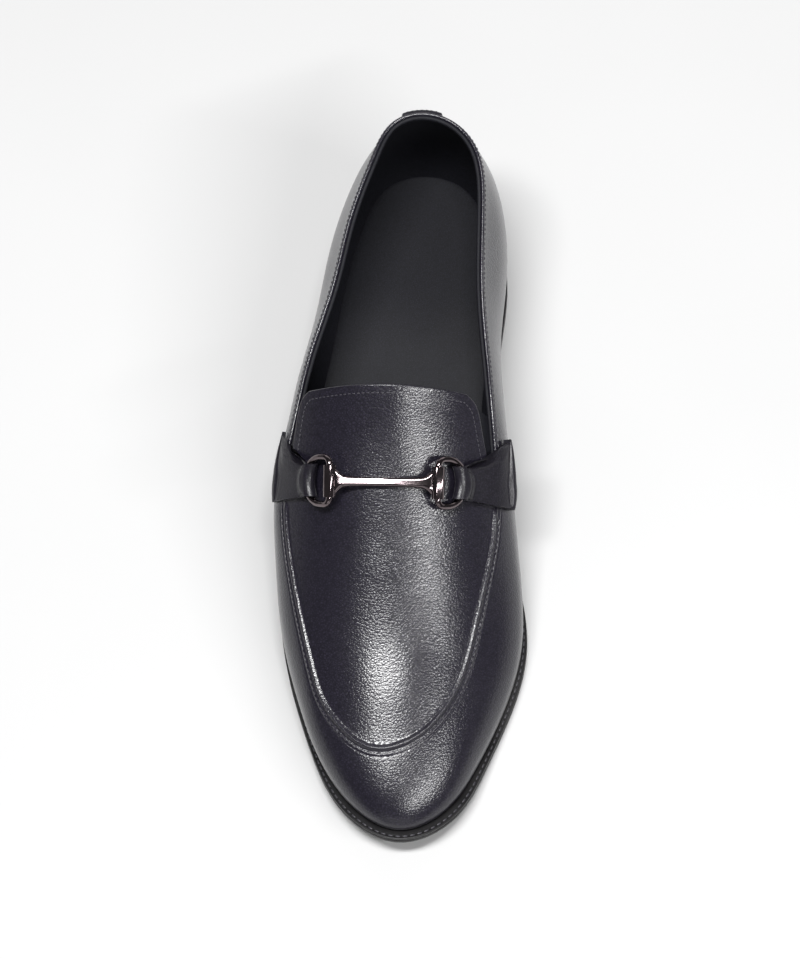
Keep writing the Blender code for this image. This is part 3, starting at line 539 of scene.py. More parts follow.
class Shell:
    """Points and faces of one piece, gathered from grids and loops."""

    def __init__(self):
        self.points = []
        self.faces = []

    def add(self, rows):
        """Adds a grid of points and returns their numbers."""
        rows = np.asarray(rows, float)
        first = len(self.points)
        self.points.extend(rows.reshape(-1, 3).tolist())
        return first + np.arange(rows.shape[0] * rows.shape[1]).reshape(rows.shape[:2])

    def skin(self, index, closed=False):
        """Faces over a grid of numbers; closed joins the last column to the first."""
        index = np.asarray(index)
        if closed:
            index = np.concatenate([index, index[:, :1]], axis=1)
        quads = np.stack([index[:-1, :-1], index[:-1, 1:], index[1:, 1:], index[1:, :-1]], axis=-1)
        self.faces.extend(quads.reshape(-1, 4).tolist())

    def grid(self, rows, closed=False):
        """Adds a grid of points with its faces."""
        index = self.add(rows)
        self.skin(index, closed)
        return index

    def tube(self, rings, capped=False):
        """Adds rings of points joined into a tube."""
        index = self.grid(rings, closed=True)
        if capped:
            self.faces += [index[0].tolist(), index[-1].tolist()]


def to_frame(points):
    """Millimetres from the heel to metres in the part's frame."""
    points = np.asarray(points, float)
    return np.column_stack([points[:, 0] - MIDDLE_SIDE, MIDDLE_ALONG - points[:, 1], points[:, 2]]) / 1000.0


def piece(name, shell, look, stands_for=(), sharp=40.0):
    """An object from a shell, clean, shaded and riding on the shoe."""
    mesh = bpy.data.meshes.new(name)
    mesh.from_pydata(to_frame(shell.points).tolist(), [], shell.faces)
    shape = bmesh.new()
    shape.from_mesh(mesh)
    bmesh.ops.remove_doubles(shape, verts=shape.verts, dist=MERGE)
    bmesh.ops.dissolve_degenerate(shape, edges=shape.edges, dist=FLAT)
    bmesh.ops.recalc_face_normals(shape, faces=shape.faces)
    shape.to_mesh(mesh)
    shape.free()
    mesh.shade_smooth()
    mesh.set_sharp_from_angle(angle=math.radians(sharp))
    mesh.materials.append(look.material)
    made = bpy.data.objects.new(name, mesh)
    bpy.context.scene.collection.objects.link(made)
    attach(made, BODY)
    if stands_for:
        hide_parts(*stands_for)
    return made


class Nodes:
    """A material and short ways to build its nodes."""

    def __init__(self, name, colour, rough, metallic=0.0, specular=0.5, coat=0.0, coat_rough=0.2):
        self.material = bpy.data.materials.new(name)
        self.material.use_nodes = True
        self.tree = self.material.node_tree
        self.shader = self.tree.nodes["Principled BSDF"]
        self.put(self.shader, {
            "Base Color": (*colour, 1.0), "Roughness": rough, "Metallic": metallic,
            "Specular IOR Level": specular, "Coat Weight": coat, "Coat Roughness": coat_rough})
        self.place = self.tree.nodes.new("ShaderNodeTexCoord").outputs["Object"]

    def put(self, node, sockets):
        """Sets a node's inputs, each to a value or to another node's output."""
        for key, value in sockets.items():
            if isinstance(value, bpy.types.NodeSocket):
                self.tree.links.new(value, node.inputs[key])
            else:
                node.inputs[key].default_value = value

    def add(self, kind, output, sockets, **properties):
        """An output of a new node with its properties and inputs set."""
        node = self.tree.nodes.new("ShaderNode" + kind)
        for key, value in properties.items():
            setattr(node, key, value)
        self.put(node, sockets)
        return node.outputs[output]

    def combine(self, operation, first, second):
        """Two vectors added, multiplied and so on."""
        return self.add("VectorMath", "Vector", {0: first, 1: second}, operation=operation)

    def stretch(self, scale):
        """Coordinates in metres multiplied by a scale for each axis."""
        return self.combine("MULTIPLY", self.place, scale)

    def noise(self, scale, detail, rough, vector=None, output="Fac"):
        """Noise at the object's own coordinates, or at others."""
        sockets = {"Vector": vector or self.place, "Scale": scale, "Detail": detail, "Roughness": rough}
        return self.add("TexNoise", output, sockets)

    def warp(self, vector, amount, scale):
        """Coordinates shaken by noise, so that cells aren't regular."""
        shake = self.combine("SUBTRACT", self.noise(scale, 2.0, 0.5, vector, "Color"), (0.5, 0.5, 0.5))
        sized = self.add("VectorMath", "Vector", {0: shake, "Scale": amount}, operation="SCALE")
        return self.combine("ADD", vector, sized)

    def cells(self, vector, feature, **sockets):
        """Distance from the middles of cells, or from the borders between them, as the feature says."""
        sockets = {"Scale": 1.0, "Vector": vector, **sockets}
        return self.add("TexVoronoi", "Distance", sockets, feature=feature)

    def bump(self, height, strength, distance, normal=None, invert=False):
        """A normal tilted by a height, on top of another bump where one is given."""
        sockets = {"Height": height, "Strength": strength, "Distance": distance}
        if normal is not None:
            sockets["Normal"] = normal
        return self.add("Bump", "Normal", sockets, invert=invert)

    def range(self, value, low, high, to_low=0.0, to_high=1.0):
        """A value's range laid over another range."""
        sockets = {"Value": value, "From Min": low, "From Max": high, "To Min": to_low, "To Max": to_high}
        return self.add("MapRange", "Result", sockets)

    def tones(self, value, low, dark, high, light):
        """A colour from dark to light as a value goes from low to high."""
        colour = self.add("ValToRGB", "Color", {"Fac": value})
        for element, place, tone in zip(colour.node.color_ramp.elements, (low, high), (dark, light)):
            element.position = place
            element.color = (*tone, 1.0)
        return colour

    def finish(self, colour, rough=None, normal=None):
        """Joins what was built to the shader."""
        sockets = {"Base Color": colour, "Roughness": rough, "Normal": normal, "Coat Normal": normal}
        self.put(self.shader, {key: value for key, value in sockets.items() if value is not None})
        return self.material


# Milled leather: depths of its bumps in metres, the darker tone of painted shade in the wrinkles and the
# lighter tone of painted highlight on the pebbles, and its finish
SWELL_DEEP = 0.0010
PEBBLE_DEEP = 0.000055
WRINKLE_DEEP = 0.000014
PORE_DEEP = 0.000003
PORES_PER_PEBBLE = 2.1
WRINKLE_PAINTED_SHADE = 0.6
PEBBLE_PAINTED_HIGHLIGHT = 1.3
FINISH_ROUGH = 0.14


def grained_leather(name, dark, light, rough, grain, cell, specular, coat=0.0):
    """Milled leather: flat pebbles parted by a net of fine wrinkles under a finish, in two close tones, with
    painted shade darkening the wrinkles and a painted highlight lightening the pebbles.
    """
    n = Nodes(name, dark, rough, specular=specular, coat=coat, coat_rough=FINISH_ROUGH)
    place = n.warp(n.stretch(cell), 0.7, 0.6)
    net = n.cells(place, "DISTANCE_TO_EDGE")
    fine = n.cells(n.warp(n.stretch([PORES_PER_PEBBLE * c for c in cell]), 0.9, 0.6), "DISTANCE_TO_EDGE")
    soft = n.noise(42.0, 3.0, 0.55)
    normal = n.bump(soft, 0.10, SWELL_DEEP)
    pebbles = n.cells(place, "SMOOTH_F1", Smoothness=0.4)
    normal = n.bump(pebbles, grain, PEBBLE_DEEP, normal, invert=True)
    normal = n.bump(n.range(net, 0.0, 0.12), grain, WRINKLE_DEEP, normal)
    normal = n.bump(n.range(fine, 0.0, 0.25), grain, PORE_DEEP, normal)
    # Painted shade: the wrinkle net is darkened; painted highlight: the pebble tops are lightened
    wrinkle_shade = [WRINKLE_PAINTED_SHADE * c for c in dark]
    pebble_highlight = [PEBBLE_PAINTED_HIGHLIGHT * c for c in light]
    colour = n.tones(n.range(net, 0.0, 0.35), 0.0, wrinkle_shade, 1.0, pebble_highlight)
    return n.finish(colour, n.range(soft, 0.3, 0.7, rough - 0.01, rough + 0.02), normal)


def sole_leather(name, dark, light, rough):
    """Dense sole leather with a dressed, slightly brushed surface."""
    n = Nodes(name, dark, rough, specular=0.25)
    brushed = n.noise(1.0, 4.0, 0.6, n.stretch((500.0, 500.0, 3200.0)))
    fibre = n.noise(2600.0, 4.0, 0.65)
    scuff = n.noise(70.0, 4.0, 0.6)
    normal = n.bump(fibre, 0.25, 0.00006, n.bump(brushed, 0.3, 0.00008))
    colour = n.tones(scuff, 0.35, dark, 0.75, light)
    return n.finish(colour, n.range(scuff, 0.3, 0.7, rough - 0.08, rough + 0.1), normal)


def rubber(name, dark, light):
    """Matte moulded rubber."""
    n = Nodes(name, dark, 0.7, specular=0.35)
    speck = n.noise(3800.0, 3.0, 0.6)
    dust = n.noise(90.0, 4.0, 0.6)
    colour = n.tones(dust, 0.35, dark, 0.75, light)
    return n.finish(colour, n.range(dust, 0.3, 0.7, 0.62, 0.8), n.bump(speck, 0.35, 0.00006))


def plated_metal(name, dark, light):
    """Dark polished plating with faint handling marks."""
    n = Nodes(name, dark, 0.1, metallic=1.0)
    marks = n.noise(1.0, 4.0, 0.7, n.stretch((900.0, 3800.0, 3800.0)))
    colour = n.tones(n.noise(220.0, 3.0, 0.5), 0.3, dark, 0.75, light)
    return n.finish(colour, n.range(marks, 0.35, 0.75, 0.07, 0.16), n.bump(marks, 0.06, 0.00002))


def thread(name, dark, light):
    """Black waxed thread with its twist, its two tones painted lighter than the leather as a painted glint.
    """
    n = Nodes(name, dark, 0.42)
    strands = n.noise(4200.0, 2.0, 0.5)
    return n.finish(n.tones(strands, 0.3, dark, 0.75, light), normal=n.bump(strands, 0.5, 0.00008))


# Looks, each a material with the name of a material slot
Look = namedtuple("Look", "material slot")
UPPER_LEATHER = Look(grained_leather(
    "upper_leather", (0.0080, 0.0070, 0.0122), (0.0112, 0.0098, 0.0162),
    0.295, 1.0, (950.0, 1150.0, 1050.0), specular=0.28, coat=0.5), "upper_leather")
BOUND_LEATHER = Look(grained_leather(
    "bound_leather", (0.0075, 0.0066, 0.0100), (0.0105, 0.0094, 0.0140),
    0.32, 0.6, (1150.0, 1150.0, 1150.0), specular=0.34), "upper_leather")
LINING_LEATHER = Look(grained_leather(
    "lining_leather", (0.0036, 0.0038, 0.0062), (0.0060, 0.0062, 0.0095),
    0.66, 0.35, (1500.0, 1500.0, 1500.0), specular=0.22), "lining_leather")
SOLE_LEATHER = Look(
    sole_leather("sole_leather", (0.0050, 0.0048, 0.0053), (0.0095, 0.0090, 0.0096), 0.42), "sole_leather")
LIFT_RUBBER = Look(rubber("lift_rubber", (0.0090, 0.0090, 0.0095), (0.0170, 0.0165, 0.0160)), "lift_rubber")
DARK_METAL = Look(plated_metal("dark_metal", (0.125, 0.102, 0.107), (0.18, 0.149, 0.155)), "dark_metal")
# The thread's tones are painted lighter than the black leather, a painted glint on the stitches
THREAD = Look(thread("thread", (0.016, 0.015, 0.020), (0.055, 0.052, 0.062)), "upper_leather")
SOLE_THREAD = Look(THREAD.material, "sole_leather")


# Samples of u round the shoe: heel, outer side, toe, inner side
U = np.concatenate([
    np.linspace(0.0, THROAT_LATERAL, QUARTER_STEPS, endpoint=False),
    np.linspace(THROAT_LATERAL, TOE_AT, VAMP_STEPS, endpoint=False),
    np.linspace(TOE_AT, THROAT_MEDIAL, VAMP_STEPS, endpoint=False),
    np.linspace(THROAT_MEDIAL, ROUND, QUARTER_STEPS, endpoint=False),
])
SEAM_FIRST = QUARTER_STEPS
SEAM_TOE = SEAM_FIRST + VAMP_STEPS
SEAM_LAST = SEAM_TOE + VAMP_STEPS
MAP = WallMap(U)
EDGE_ALONG = EDGE(U)[:, 1]
LIP_SHARE = np.where(on_seam(U), 0.0, LIP_LEAST + (1.0 - LIP_LEAST) * smooth((LIP_FROM - EDGE_ALONG) / FADE))

# Numbers of the collar's samples, from the inner throat round the heel to the outer throat
COLLAR = np.concatenate([np.arange(SEAM_LAST, len(U)), np.arange(0, SEAM_FIRST + 1)])
COLLAR_MAP = WallMap(U[COLLAR])
COLLAR_SHARE = np.maximum(LIP_SHARE[COLLAR], LIP_LEAST)


def seam_share(u):
    """How much of the seam shows: all of it in front of the straps, none behind them."""
    return np.where(on_seam(u), smooth((EDGE(u)[..., 1] - SEAM_FROM) / FADE), 0.0)


def seam_raise(s):
    """The seam's relief by distance outside its crest: crest, groove, stitched ridge and crease."""
    crest = CREST_HIGH * np.exp(-(s / CREST_WIDE) ** 2)
    groove = GROOVE_DEEP * np.exp(-((s - GROOVE_AT) / GROOVE_WIDE) ** 2)
    ridge = RIDGE_HIGH * np.exp(-np.abs((s - RIDGE_AT) / RIDGE_WIDE) ** 3)
    crease = CREASE_DEEP * np.exp(-((s - CREASE_AT) / CREASE_WIDE) ** 2)
    return crest - groove + ridge - crease


def fold_raise(distance):
    """The collar's turned edge, one leather thicker than the quarter."""
    return FOLD_HIGH * (1.0 - smooth((distance - FOLD_WIDE + 0.4) / 0.8))


def outer_rows():
    """Rows of the wall's outer face from its upper edge to the welt."""
    rows = []
    for distance in NEAR_EDGE:
        points, normals, _ = MAP.frame(distance + LIP_RADIUS * LIP_SHARE)
        lift = seam_share(U) * seam_raise(distance - SEAM_SHIFT(U))
        lift += LIP_SHARE * fold_raise(distance) + creases(points)
        rows.append(points + normals * lift[:, None])
    last = NEAR_EDGE[-1] + LIP_RADIUS * LIP_SHARE
    for share in np.linspace(0.0, 1.0, 30)[1:]:
        points, normals, _ = MAP.frame(last + (MAP.full - last) * share)
        rows.append(points + normals * (creases(points) * (1.0 - share))[:, None])
    foot = rows[-1].copy()
    foot[:, 2] -= FOOT_SINK
    foot[:, :2] -= plan_normal(FOOT, U) * FOOT_TUCK
    rows.append(foot)
    return np.array(rows)


OUTER = outer_rows()


def make_vamp():
    """Quarters and vamp band, with the collar's turned edge."""
    shell = Shell()
    index = shell.grid(OUTER, closed=True)
    radius = LIP_RADIUS * COLLAR_SHARE
    points, normals, upward = COLLAR_MAP.frame(radius)
    centre = points - normals * (radius - FOLD_HIGH * LIP_SHARE[COLLAR])[:, None]
    radius = radius[:, None]
    rows = rolled(centre, radius * normals, radius * upward, np.linspace(0.0, 180.0, 11)[1:])
    rows.append(rows[-1] - upward * LIP_TAIL)
    shell.skin(np.concatenate([index[:1, COLLAR], shell.add(rows)]))
    piece("vamp_quarters", shell, UPPER_LEATHER, ["upper"])


def make_lining():
    """The lining and its rolled binding inside the collar."""
    shell = Shell()
    rows = []
    for distance, depth in LINING_TOP:
        points, normals, _ = MAP.frame(distance)
        rows.append(points - normals * (WALL + (depth - WALL) * LIP_SHARE)[:, None])
    for share in np.linspace(0.0, 1.0, 20)[1:]:
        points, normals, _ = MAP.frame(distance + (MAP.full - distance) * share)
        rows.append(points - normals * WALL)
    index = shell.grid(rows, closed=True)
    points, normals, upward = COLLAR_MAP.frame(BINDING_RADIUS)
    centre = points - normals * (BINDING_IN * (0.5 + 0.5 * COLLAR_SHARE))[:, None]
    radius = (BINDING_RADIUS * COLLAR_SHARE)[:, None]
    rows = rolled(centre, radius * normals, radius * upward, np.linspace(-40.0, 165.0, 12))
    rows.insert(0, rows[0] - upward * BINDING_TAIL)
    shell.skin(np.concatenate([shell.add(rows), index[:1, COLLAR]]))
    piece("lining", shell, LINING_LEATHER)


def seam_lift(points):
    """How far the seam lifts or sinks points of the apron, by their distance inside its edge."""
    u = np.linspace(THROAT_LATERAL, THROAT_MEDIAL, 6001)
    tree = KDTree(len(u))
    for number, place in enumerate(np.column_stack([EDGE(u), edge_up(u)])):
        tree.insert(place, number)
    tree.balance()
    found = [tree.find(point) for point in points.reshape(-1, 3)]
    near = u[[number for _, number, _ in found]]
    inside = np.array([distance for _, _, distance in found])
    return (seam_share(near) * seam_raise(-inside - SEAM_SHIFT(near))).reshape(points.shape[:-1])


def cross_shares(width):
    """Shares across a row of the apron, close together near its two edges."""
    half = 0.5 * width
    fine = min(SEAM_ZONE, half * SEAM_STEPS / HALF_STEPS)
    inside = np.interp(np.arange(HALF_STEPS + 1), [0, SEAM_STEPS, HALF_STEPS], [0.0, fine, half]) / width
    return np.concatenate([inside, 1.0 - inside[-2::-1]])


def apron_plan():
    """Plan points of the apron and tongue, from the toe to the tongue's top."""
    rows = []
    outer = EDGE(U[SEAM_FIRST:SEAM_TOE + 1])[::-1]
    inner = EDGE(U[SEAM_TOE:SEAM_LAST + 1])
    for a, b in zip(outer, inner):
        rows.append(straight(a, b, cross_shares(max(np.linalg.norm(b - a), 1e-6))[:, None]))
    curve = Spline(np.arange(len(TONGUE)), np.array(TONGUE))
    for t in np.linspace(0.0, len(TONGUE) - 1.0, TONGUE_STEPS)[1:]:
        row = TongueRow(*curve(t))
        a = np.array([row.lateral_side, row.lateral_along])
        b = np.array([row.medial_side, row.medial_along])
        share = cross_shares(np.linalg.norm(b - a))
        plan = straight(a, b, share[:, None])
        plan[:, 1] += (row.middle_along - 0.5 * (a[1] + b[1])) * 4.0 * share * (1.0 - share)
        rows.append(plan)
    return np.array(rows)


APRON_PLAN = apron_plan()
APRON = on_instep(APRON_PLAN)
APRON_OUT = instep_normal(APRON_PLAN)


def apron_face():
    """The apron's and tongue's outer face, rising to the seam's crest."""
    lift = seam_lift(APRON) + creases(APRON) - plug_dip(APRON)
    face = APRON + APRON_OUT * lift[..., None]
    rows = np.arange(VAMP_STEPS + 1)
    face[rows, 0] = OUTER[0, SEAM_TOE - rows]
    face[rows, -1] = OUTER[0, SEAM_TOE + rows]
    return face


APRON_FACE = apron_face()


def tongue_rim():
    """Points, outward directions and normals round the tongue's free edge, outer throat to inner throat."""
    rows = np.arange(VAMP_STEPS, len(APRON_FACE))
    left = [(row, 0) for row in rows]
    top = [(rows[-1], column) for column in range(1, ACROSS)]
    right = [(row, ACROSS) for row in rows[::-1]]
    row, column = np.array(left + top + right).T
    points = APRON_FACE[row, column]
    normals = APRON_OUT[row, column]
    ahead = unit(np.gradient(points, axis=0))
    for _ in range(3):
        ahead[1:-1] = unit(ahead[:-2] + 2.0 * ahead[1:-1] + ahead[2:])
    out = unit(np.cross(ahead, normals))
    if np.dot(out[len(points) // 2], np.array([0.0, -1.0, 0.3])) < 0.0:
        out = -out
    return points, out, normals


def make_apron():
    """Apron and tongue with a rounded free edge, and the lining under them."""
    shell = Shell()
    shell.grid(APRON_FACE)
    points, out, normals = tongue_rim()
    depth = normals * TONGUE_ROUND
    shell.grid(rolled(points - depth, depth, out * TONGUE_BULGE, np.linspace(0.0, 180.0, 9)))
    piece("apron_tongue", shell, UPPER_LEATHER, ["upper"], sharp=60.0)
    shell = Shell()
    shell.grid(APRON_FACE - APRON_OUT * (2.0 * TONGUE_ROUND))
    piece("apron_lining", shell, LINING_LEATHER)


class Path:
    """A line of points with normals, followed by distance."""

    def __init__(self, points, normals):
        self.points = points
        self.normals = normals
        self.run = run_along(points)

    def follow(self, values, distance):
        """Values of the line at distances from its start."""
        return np.stack([np.interp(distance, self.run, values[:, k]) for k in range(3)], axis=-1)

    def at(self, distance):
        """Points, normals and forward directions at distances from the start."""
        ahead = self.follow(self.points, distance + 0.2) - self.follow(self.points, distance - 0.2)
        return self.follow(self.points, distance), unit(self.follow(self.normals, distance)), unit(ahead)


def sew(shell, path, stitch):
    """Stitches along a path, each a short rounded thread whose ends dive into the leather."""
    place, swell, rise = np.array(STITCH_SHAPE).T
    room = path.run[-1] - 2.0 * SEW_MARGIN
    count = max(1, int(room / stitch.pitch))
    step = room / count
    for k in range(count):
        start = SEW_MARGIN + k * step + 0.5 * (step - stitch.length)
        point, normal, ahead = path.at(start + place * stitch.length)
        aside = np.cross(normal, ahead)
        middle = point + normal * (rise * stitch.high / STITCH_HIGH)[:, None]
        wide = (swell * stitch.wide)[:, None] * aside
        high = (swell * stitch.high)[:, None] * normal
        shell.tube(np.stack(rolled(middle, wide, high, np.arange(0.0, 360.0, 60.0)), axis=1), capped=True)


def seam_path(u, s):
    """A path at a distance outside the seam's crest, on the wall or on the apron."""
    under = s + SEAM_SHIFT(u)
    points, normals, _ = WallMap(u).frame(np.maximum(under, 0.0))
    level = np.cos(np.radians(EDGE_SHAPE(u)[:, 1]))
    plan = EDGE(u) + plan_normal(EDGE, u) * (under * level)[:, None]
    inside = (under < 0.0)[:, None]
    points = np.where(inside, on_instep(plan), points)
    normals = np.where(inside, instep_normal(plan), normals)
    return Path(points + normals * seam_raise(s), normals)


def make_stitches():
    """Threads of the collar, the seam's ridge and the tongue."""
    shell = Shell()
    collar = COLLAR[EDGE_ALONG[COLLAR] < COLLAR_SEWN_TO]
    points, normals, _ = WallMap(U[collar]).frame(LIP_RADIUS + COLLAR_SEWN_UNDER)
    sew(shell, Path(points + normals * (FOLD_HIGH + 0.02), normals), COLLAR_STITCH)
    sew(shell, seam_path(U[seam_share(U) > 0.95], RIDGE_AT), SEAM_STITCH)
    points, out, normals = tongue_rim()
    line = on_instep((points - out * TONGUE_SEWN_IN)[:, :2])
    keep = line[:, 1] < TONGUE_SEWN_TO
    sew(shell, Path(line[keep], normals[keep]), TONGUE_STITCH)
    piece("stitching", shell, THREAD)


def welt_out(along):
    """How far the welt and outsole stand out from the foot of the wall."""
    return WELT_OUT + (WELT_OUT_TOE - WELT_OUT) * smooth((along - WELT_WIDENS_FROM) / WELT_WIDENS_OVER)


RING_U = np.concatenate([
    np.linspace(0.0, TOE_AT, RING_STEPS, endpoint=False),
    np.linspace(TOE_AT, ROUND, RING_STEPS, endpoint=False),
])


def ring_plan(offset):
    """Plan points round the sole, offset from its outer edge."""
    foot = FOOT(RING_U)
    return foot + plan_normal(FOOT, RING_U) * (welt_out(foot[:, 1]) + offset)[:, None]


def foot_plan(offset):
    """Plan points round the foot of the wall, offset outwards."""
    return FOOT(RING_U) + plan_normal(FOOT, RING_U) * offset


def lifted(plan, up):
    """Plan points on the sole's own curve, a height above its underside."""
    return np.column_stack([plan, tread_up(plan[:, 1]) + up])


def sole_plate(shell, profile, plan_of, columns):
    """A plate from a rim profile of (offset, height) pairs, lower face first, closed by two caps."""
    shell.grid([lifted(plan_of(offset), up) for offset, up in profile], closed=True)
    share = np.linspace(0.0, 1.0, columns)[:, None]
    for offset, up in (profile[0], profile[-1]):
        plan = plan_of(offset)
        index = shell.grid([lifted(straight(plan[i], plan[-i], share), up) for i in range(1, RING_STEPS)])
        for tip, row in ((0, index[0]), (RING_STEPS, index[-1])):
            number = shell.add([lifted(plan[tip:tip + 1], up)])[0, 0]
            shell.faces += [[int(number), int(a), int(b)] for a, b in zip(row, row[1:])]


def make_sole():
    """Outsole with a stitched channel, welt with its stitches, and insole."""
    shell = Shell()
    rim = [(-0.9, 0.0), (-0.45, 0.06), (-0.15, 0.3), (0.0, 0.7), (0.05, 1.5), (0.0, 2.4), (-0.12, 2.8),
           (-0.35, 3.0), (-0.8, OUTSOLE_THICK + 0.12)]
    sole_plate(shell, CHANNEL + rim, ring_plan, 30)
    piece("sole", shell, SOLE_LEATHER, ["outsole"])

    shell = Shell()
    low = OUTSOLE_THICK + 0.2
    high = OUTSOLE_THICK + GAP + WELT_THICK
    rim = [(-0.35, low), (-0.12, low + 0.2), (0.0, low + 0.6), (0.0, high - 0.55), (-0.12, high - 0.2),
           (-0.4, high - 0.03), (-0.9, high - 0.06), (WELT_SEWN_AT, high - 0.16), (-1.6, high - 0.06)]
    inner = -(WALL + 0.2)
    inside = [lifted(foot_plan(offset), up) for offset, up in ((-0.2, high), (inner, high), (inner, low))]
    shell.grid(inside[-1:] + [lifted(ring_plan(offset), up) for offset, up in rim] + inside, closed=True)
    piece("welt_rim", shell, SOLE_LEATHER, ["welt"])

    shell = Shell()
    welt = lifted(ring_plan(WELT_SEWN_AT), high - 0.14)
    welt = np.concatenate([welt, welt[:1]])
    channel = lifted(ring_plan(SOLE_SEWN_AT), 0.24)
    channel = channel[channel[:, 1] > BREAST + 6.0]
    for line, facing, stitch in ((welt, 1.0, WELT_STITCH), (channel, -1.0, SOLE_STITCH)):
        sew(shell, Path(line, np.tile([0.0, 0.0, facing], (len(line), 1))), stitch)
    piece("sole_stitching", shell, SOLE_THREAD)

    shell = Shell()
    low = OUTSOLE_THICK + GAP
    high = low + INSOLE_THICK
    inset = WALL - 0.5
    rim = [(-0.6, low), (-0.2, low + 0.3), (-0.05, low + 1.0), (-0.05, high - 0.6), (-0.3, high - 0.15),
           (-0.9, high)]
    sole_plate(shell, [(offset - inset, up) for offset, up in rim], foot_plan, 24)
    piece("insole_board", shell, LINING_LEATHER, ["insole"])


def heel_grid(inset, low, share):
    """A grid over the heel's plan with a hollowed breast, a share of the way from a height to the sole."""
    plan = ring_plan(-inset)
    back = plan[:, 1].min()
    t = np.linspace(0.0, 1.0, HEEL_ROWS) ** 1.9
    t[0] = 0.0004
    along = back + (BREAST - back) * t
    rims = []
    for half in (plan[:RING_STEPS + 1], np.concatenate([plan[RING_STEPS:], plan[:1]])[::-1]):
        first = int(np.argmin(half[:20, 1]))
        rims.append(np.interp(along, half[first:, 1], half[first:, 0])[:, None])
    across = np.linspace(0.0, 1.0, HEEL_COLUMNS)
    side = rims[0] + (rims[1] - rims[0]) * across[None]
    place = along[:, None] - BREAST_HOLLOW * 4.0 * across * (1.0 - across) * (t**2)[:, None]
    return np.stack([side, place, low + (tread_up(place) - 0.1 - low) * share], axis=-1)


def heel_block(shell, levels):
    """A block from grids at several heights, walls between them and caps at both ends."""
    grids = [heel_grid(*level) for level in levels]
    shell.grid([border(grid.swapaxes(0, 1)) for grid in grids], closed=True)
    shell.grid(grids[0])
    shell.grid(grids[-1])


def make_heel():
    """Heel stack with its lifts, and the rubber top lift."""
    shell = Shell()
    levels = []
    for k in range(HEEL_LIFTS):
        for local, groove in LIFT_SHAPE:
            share = (k + local) / HEEL_LIFTS
            levels.append((HEEL_INSET + HEEL_TAPER * 0.7 * (1.0 - share) + groove, LIFT_THICK + 0.1, share))
    heel_block(shell, levels)
    piece("heel_stack", shell, SOLE_LEATHER, ["heel"])

    shell = Shell()
    full = HEEL_INSET + HEEL_TAPER
    rim = [(0.7, 0.0), (0.3, 0.08), (0.0, 0.5), (-0.15, 3.0), (-0.3, LIFT_THICK - 0.35), (-0.1, LIFT_THICK)]
    heel_block(shell, [(full + inset, height, 0.0) for inset, height in rim])
    piece("top_lift", shell, LIFT_RUBBER, ["heel_top_lift"])


# Bit frame: across is the shoe's side axis, down runs along the instep, out stands off it
RIDGE_HERE = INSTEP_CURVE(np.array(BIT_ALONG))
RIDGE_BACK, RIDGE_AHEAD = INSTEP_CURVE(np.array([BIT_ALONG - 5.0, BIT_ALONG + 5.0]))[:, 0]
INSTEP_FALL = (RIDGE_BACK - RIDGE_AHEAD) / 10.0
TILT = math.atan(INSTEP_FALL)
ACROSS_AXIS = np.array([1.0, 0.0, 0.0])
DOWN_AXIS = np.array([0.0, math.cos(TILT), -math.sin(TILT)])
OUT_AXIS = np.array([0.0, math.sin(TILT), math.cos(TILT)])
BIT_CENTRE = np.array([RIDGE_HERE[2] + BIT_SIDE_SHIFT, BIT_ALONG, RIDGE_HERE[0]]) + BAR_CLEAR * OUT_AXIS


def ring_axes(hand):
    """The ring's leg point, its outward axis and its width from leg to arc, for one side of the shoe."""
    leg = BIT_CENTRE + hand * BIT_HALF * ACROSS_AXIS
    foot = np.array([BIT_CENTRE[0] + hand * (BIT_HALF + RING_REACH), BIT_ALONG])
    outward = on_instep(foot) + RING_STAND * instep_normal(foot) - leg
    outward -= DOWN_AXIS * np.dot(outward, DOWN_AXIS)
    width = np.linalg.norm(outward)
    return leg, outward / width, width


def arc(centre, radius, first, last, count):
    """Points of an arc in a plane, from one angle in degrees to another."""
    turns = np.radians(np.linspace(first, last, count))
    return np.column_stack([centre[0] + radius * np.cos(turns), centre[1] + radius * np.sin(turns)])


def ring_path(width):
    """Centre line of the ring in its own plane: out from the leg, and along the leg."""
    inner = RING_HALF_HIGH - RING_CORNER
    return np.concatenate([
        arc((width - RING_HALF_HIGH, 0.0), RING_HALF_HIGH, -90.0, 90.0, 73),
        arc((RING_CORNER, inner), RING_CORNER, 90.0, 180.0, 19),
        [(0.0, 0.0)],
        arc((RING_CORNER, -inner), RING_CORNER, 180.0, 270.0, 19)[:-1],
    ])


def ring_round(middle, across, up, radii):
    """Points once round a middle, from across towards up, at radii measured in these two."""
    turns = circle(len(radii))
    return middle + (radii * np.cos(turns))[:, None] * across + (radii * np.sin(turns))[:, None] * up


def make_ring(hand):
    """A ring of round wire."""
    leg, outward, width = ring_axes(hand)
    path = ring_path(width)
    flat = WIRE_RADIUS * np.cross(outward, DOWN_AXIS)
    ahead = unit(np.roll(path, -1, axis=0) - np.roll(path, 1, axis=0))
    rings = []
    for (x, y), (dx, dy) in zip(path, ahead):
        sideways = WIRE_RADIUS * (outward * dy - DOWN_AXIS * dx)
        rings.append(ring_round(leg + outward * x + DOWN_AXIS * y, sideways, flat, np.ones(24)))
    shell = Shell()
    shell.tube(rings + rings[:1])
    piece("bit_ring_" + SIDES[hand], shell, DARK_METAL, ["ring_" + SIDES[hand]])


def flattened(face, half, count):
    """Radii round a circle with one flat face, its middle and half angle in degrees."""
    half = math.radians(half)
    away = np.abs((circle(count) - math.radians(face) + math.pi) % (2.0 * math.pi) - math.pi)
    return np.where(away < half, math.cos(half) / np.cos(np.minimum(away, half)), 1.0)


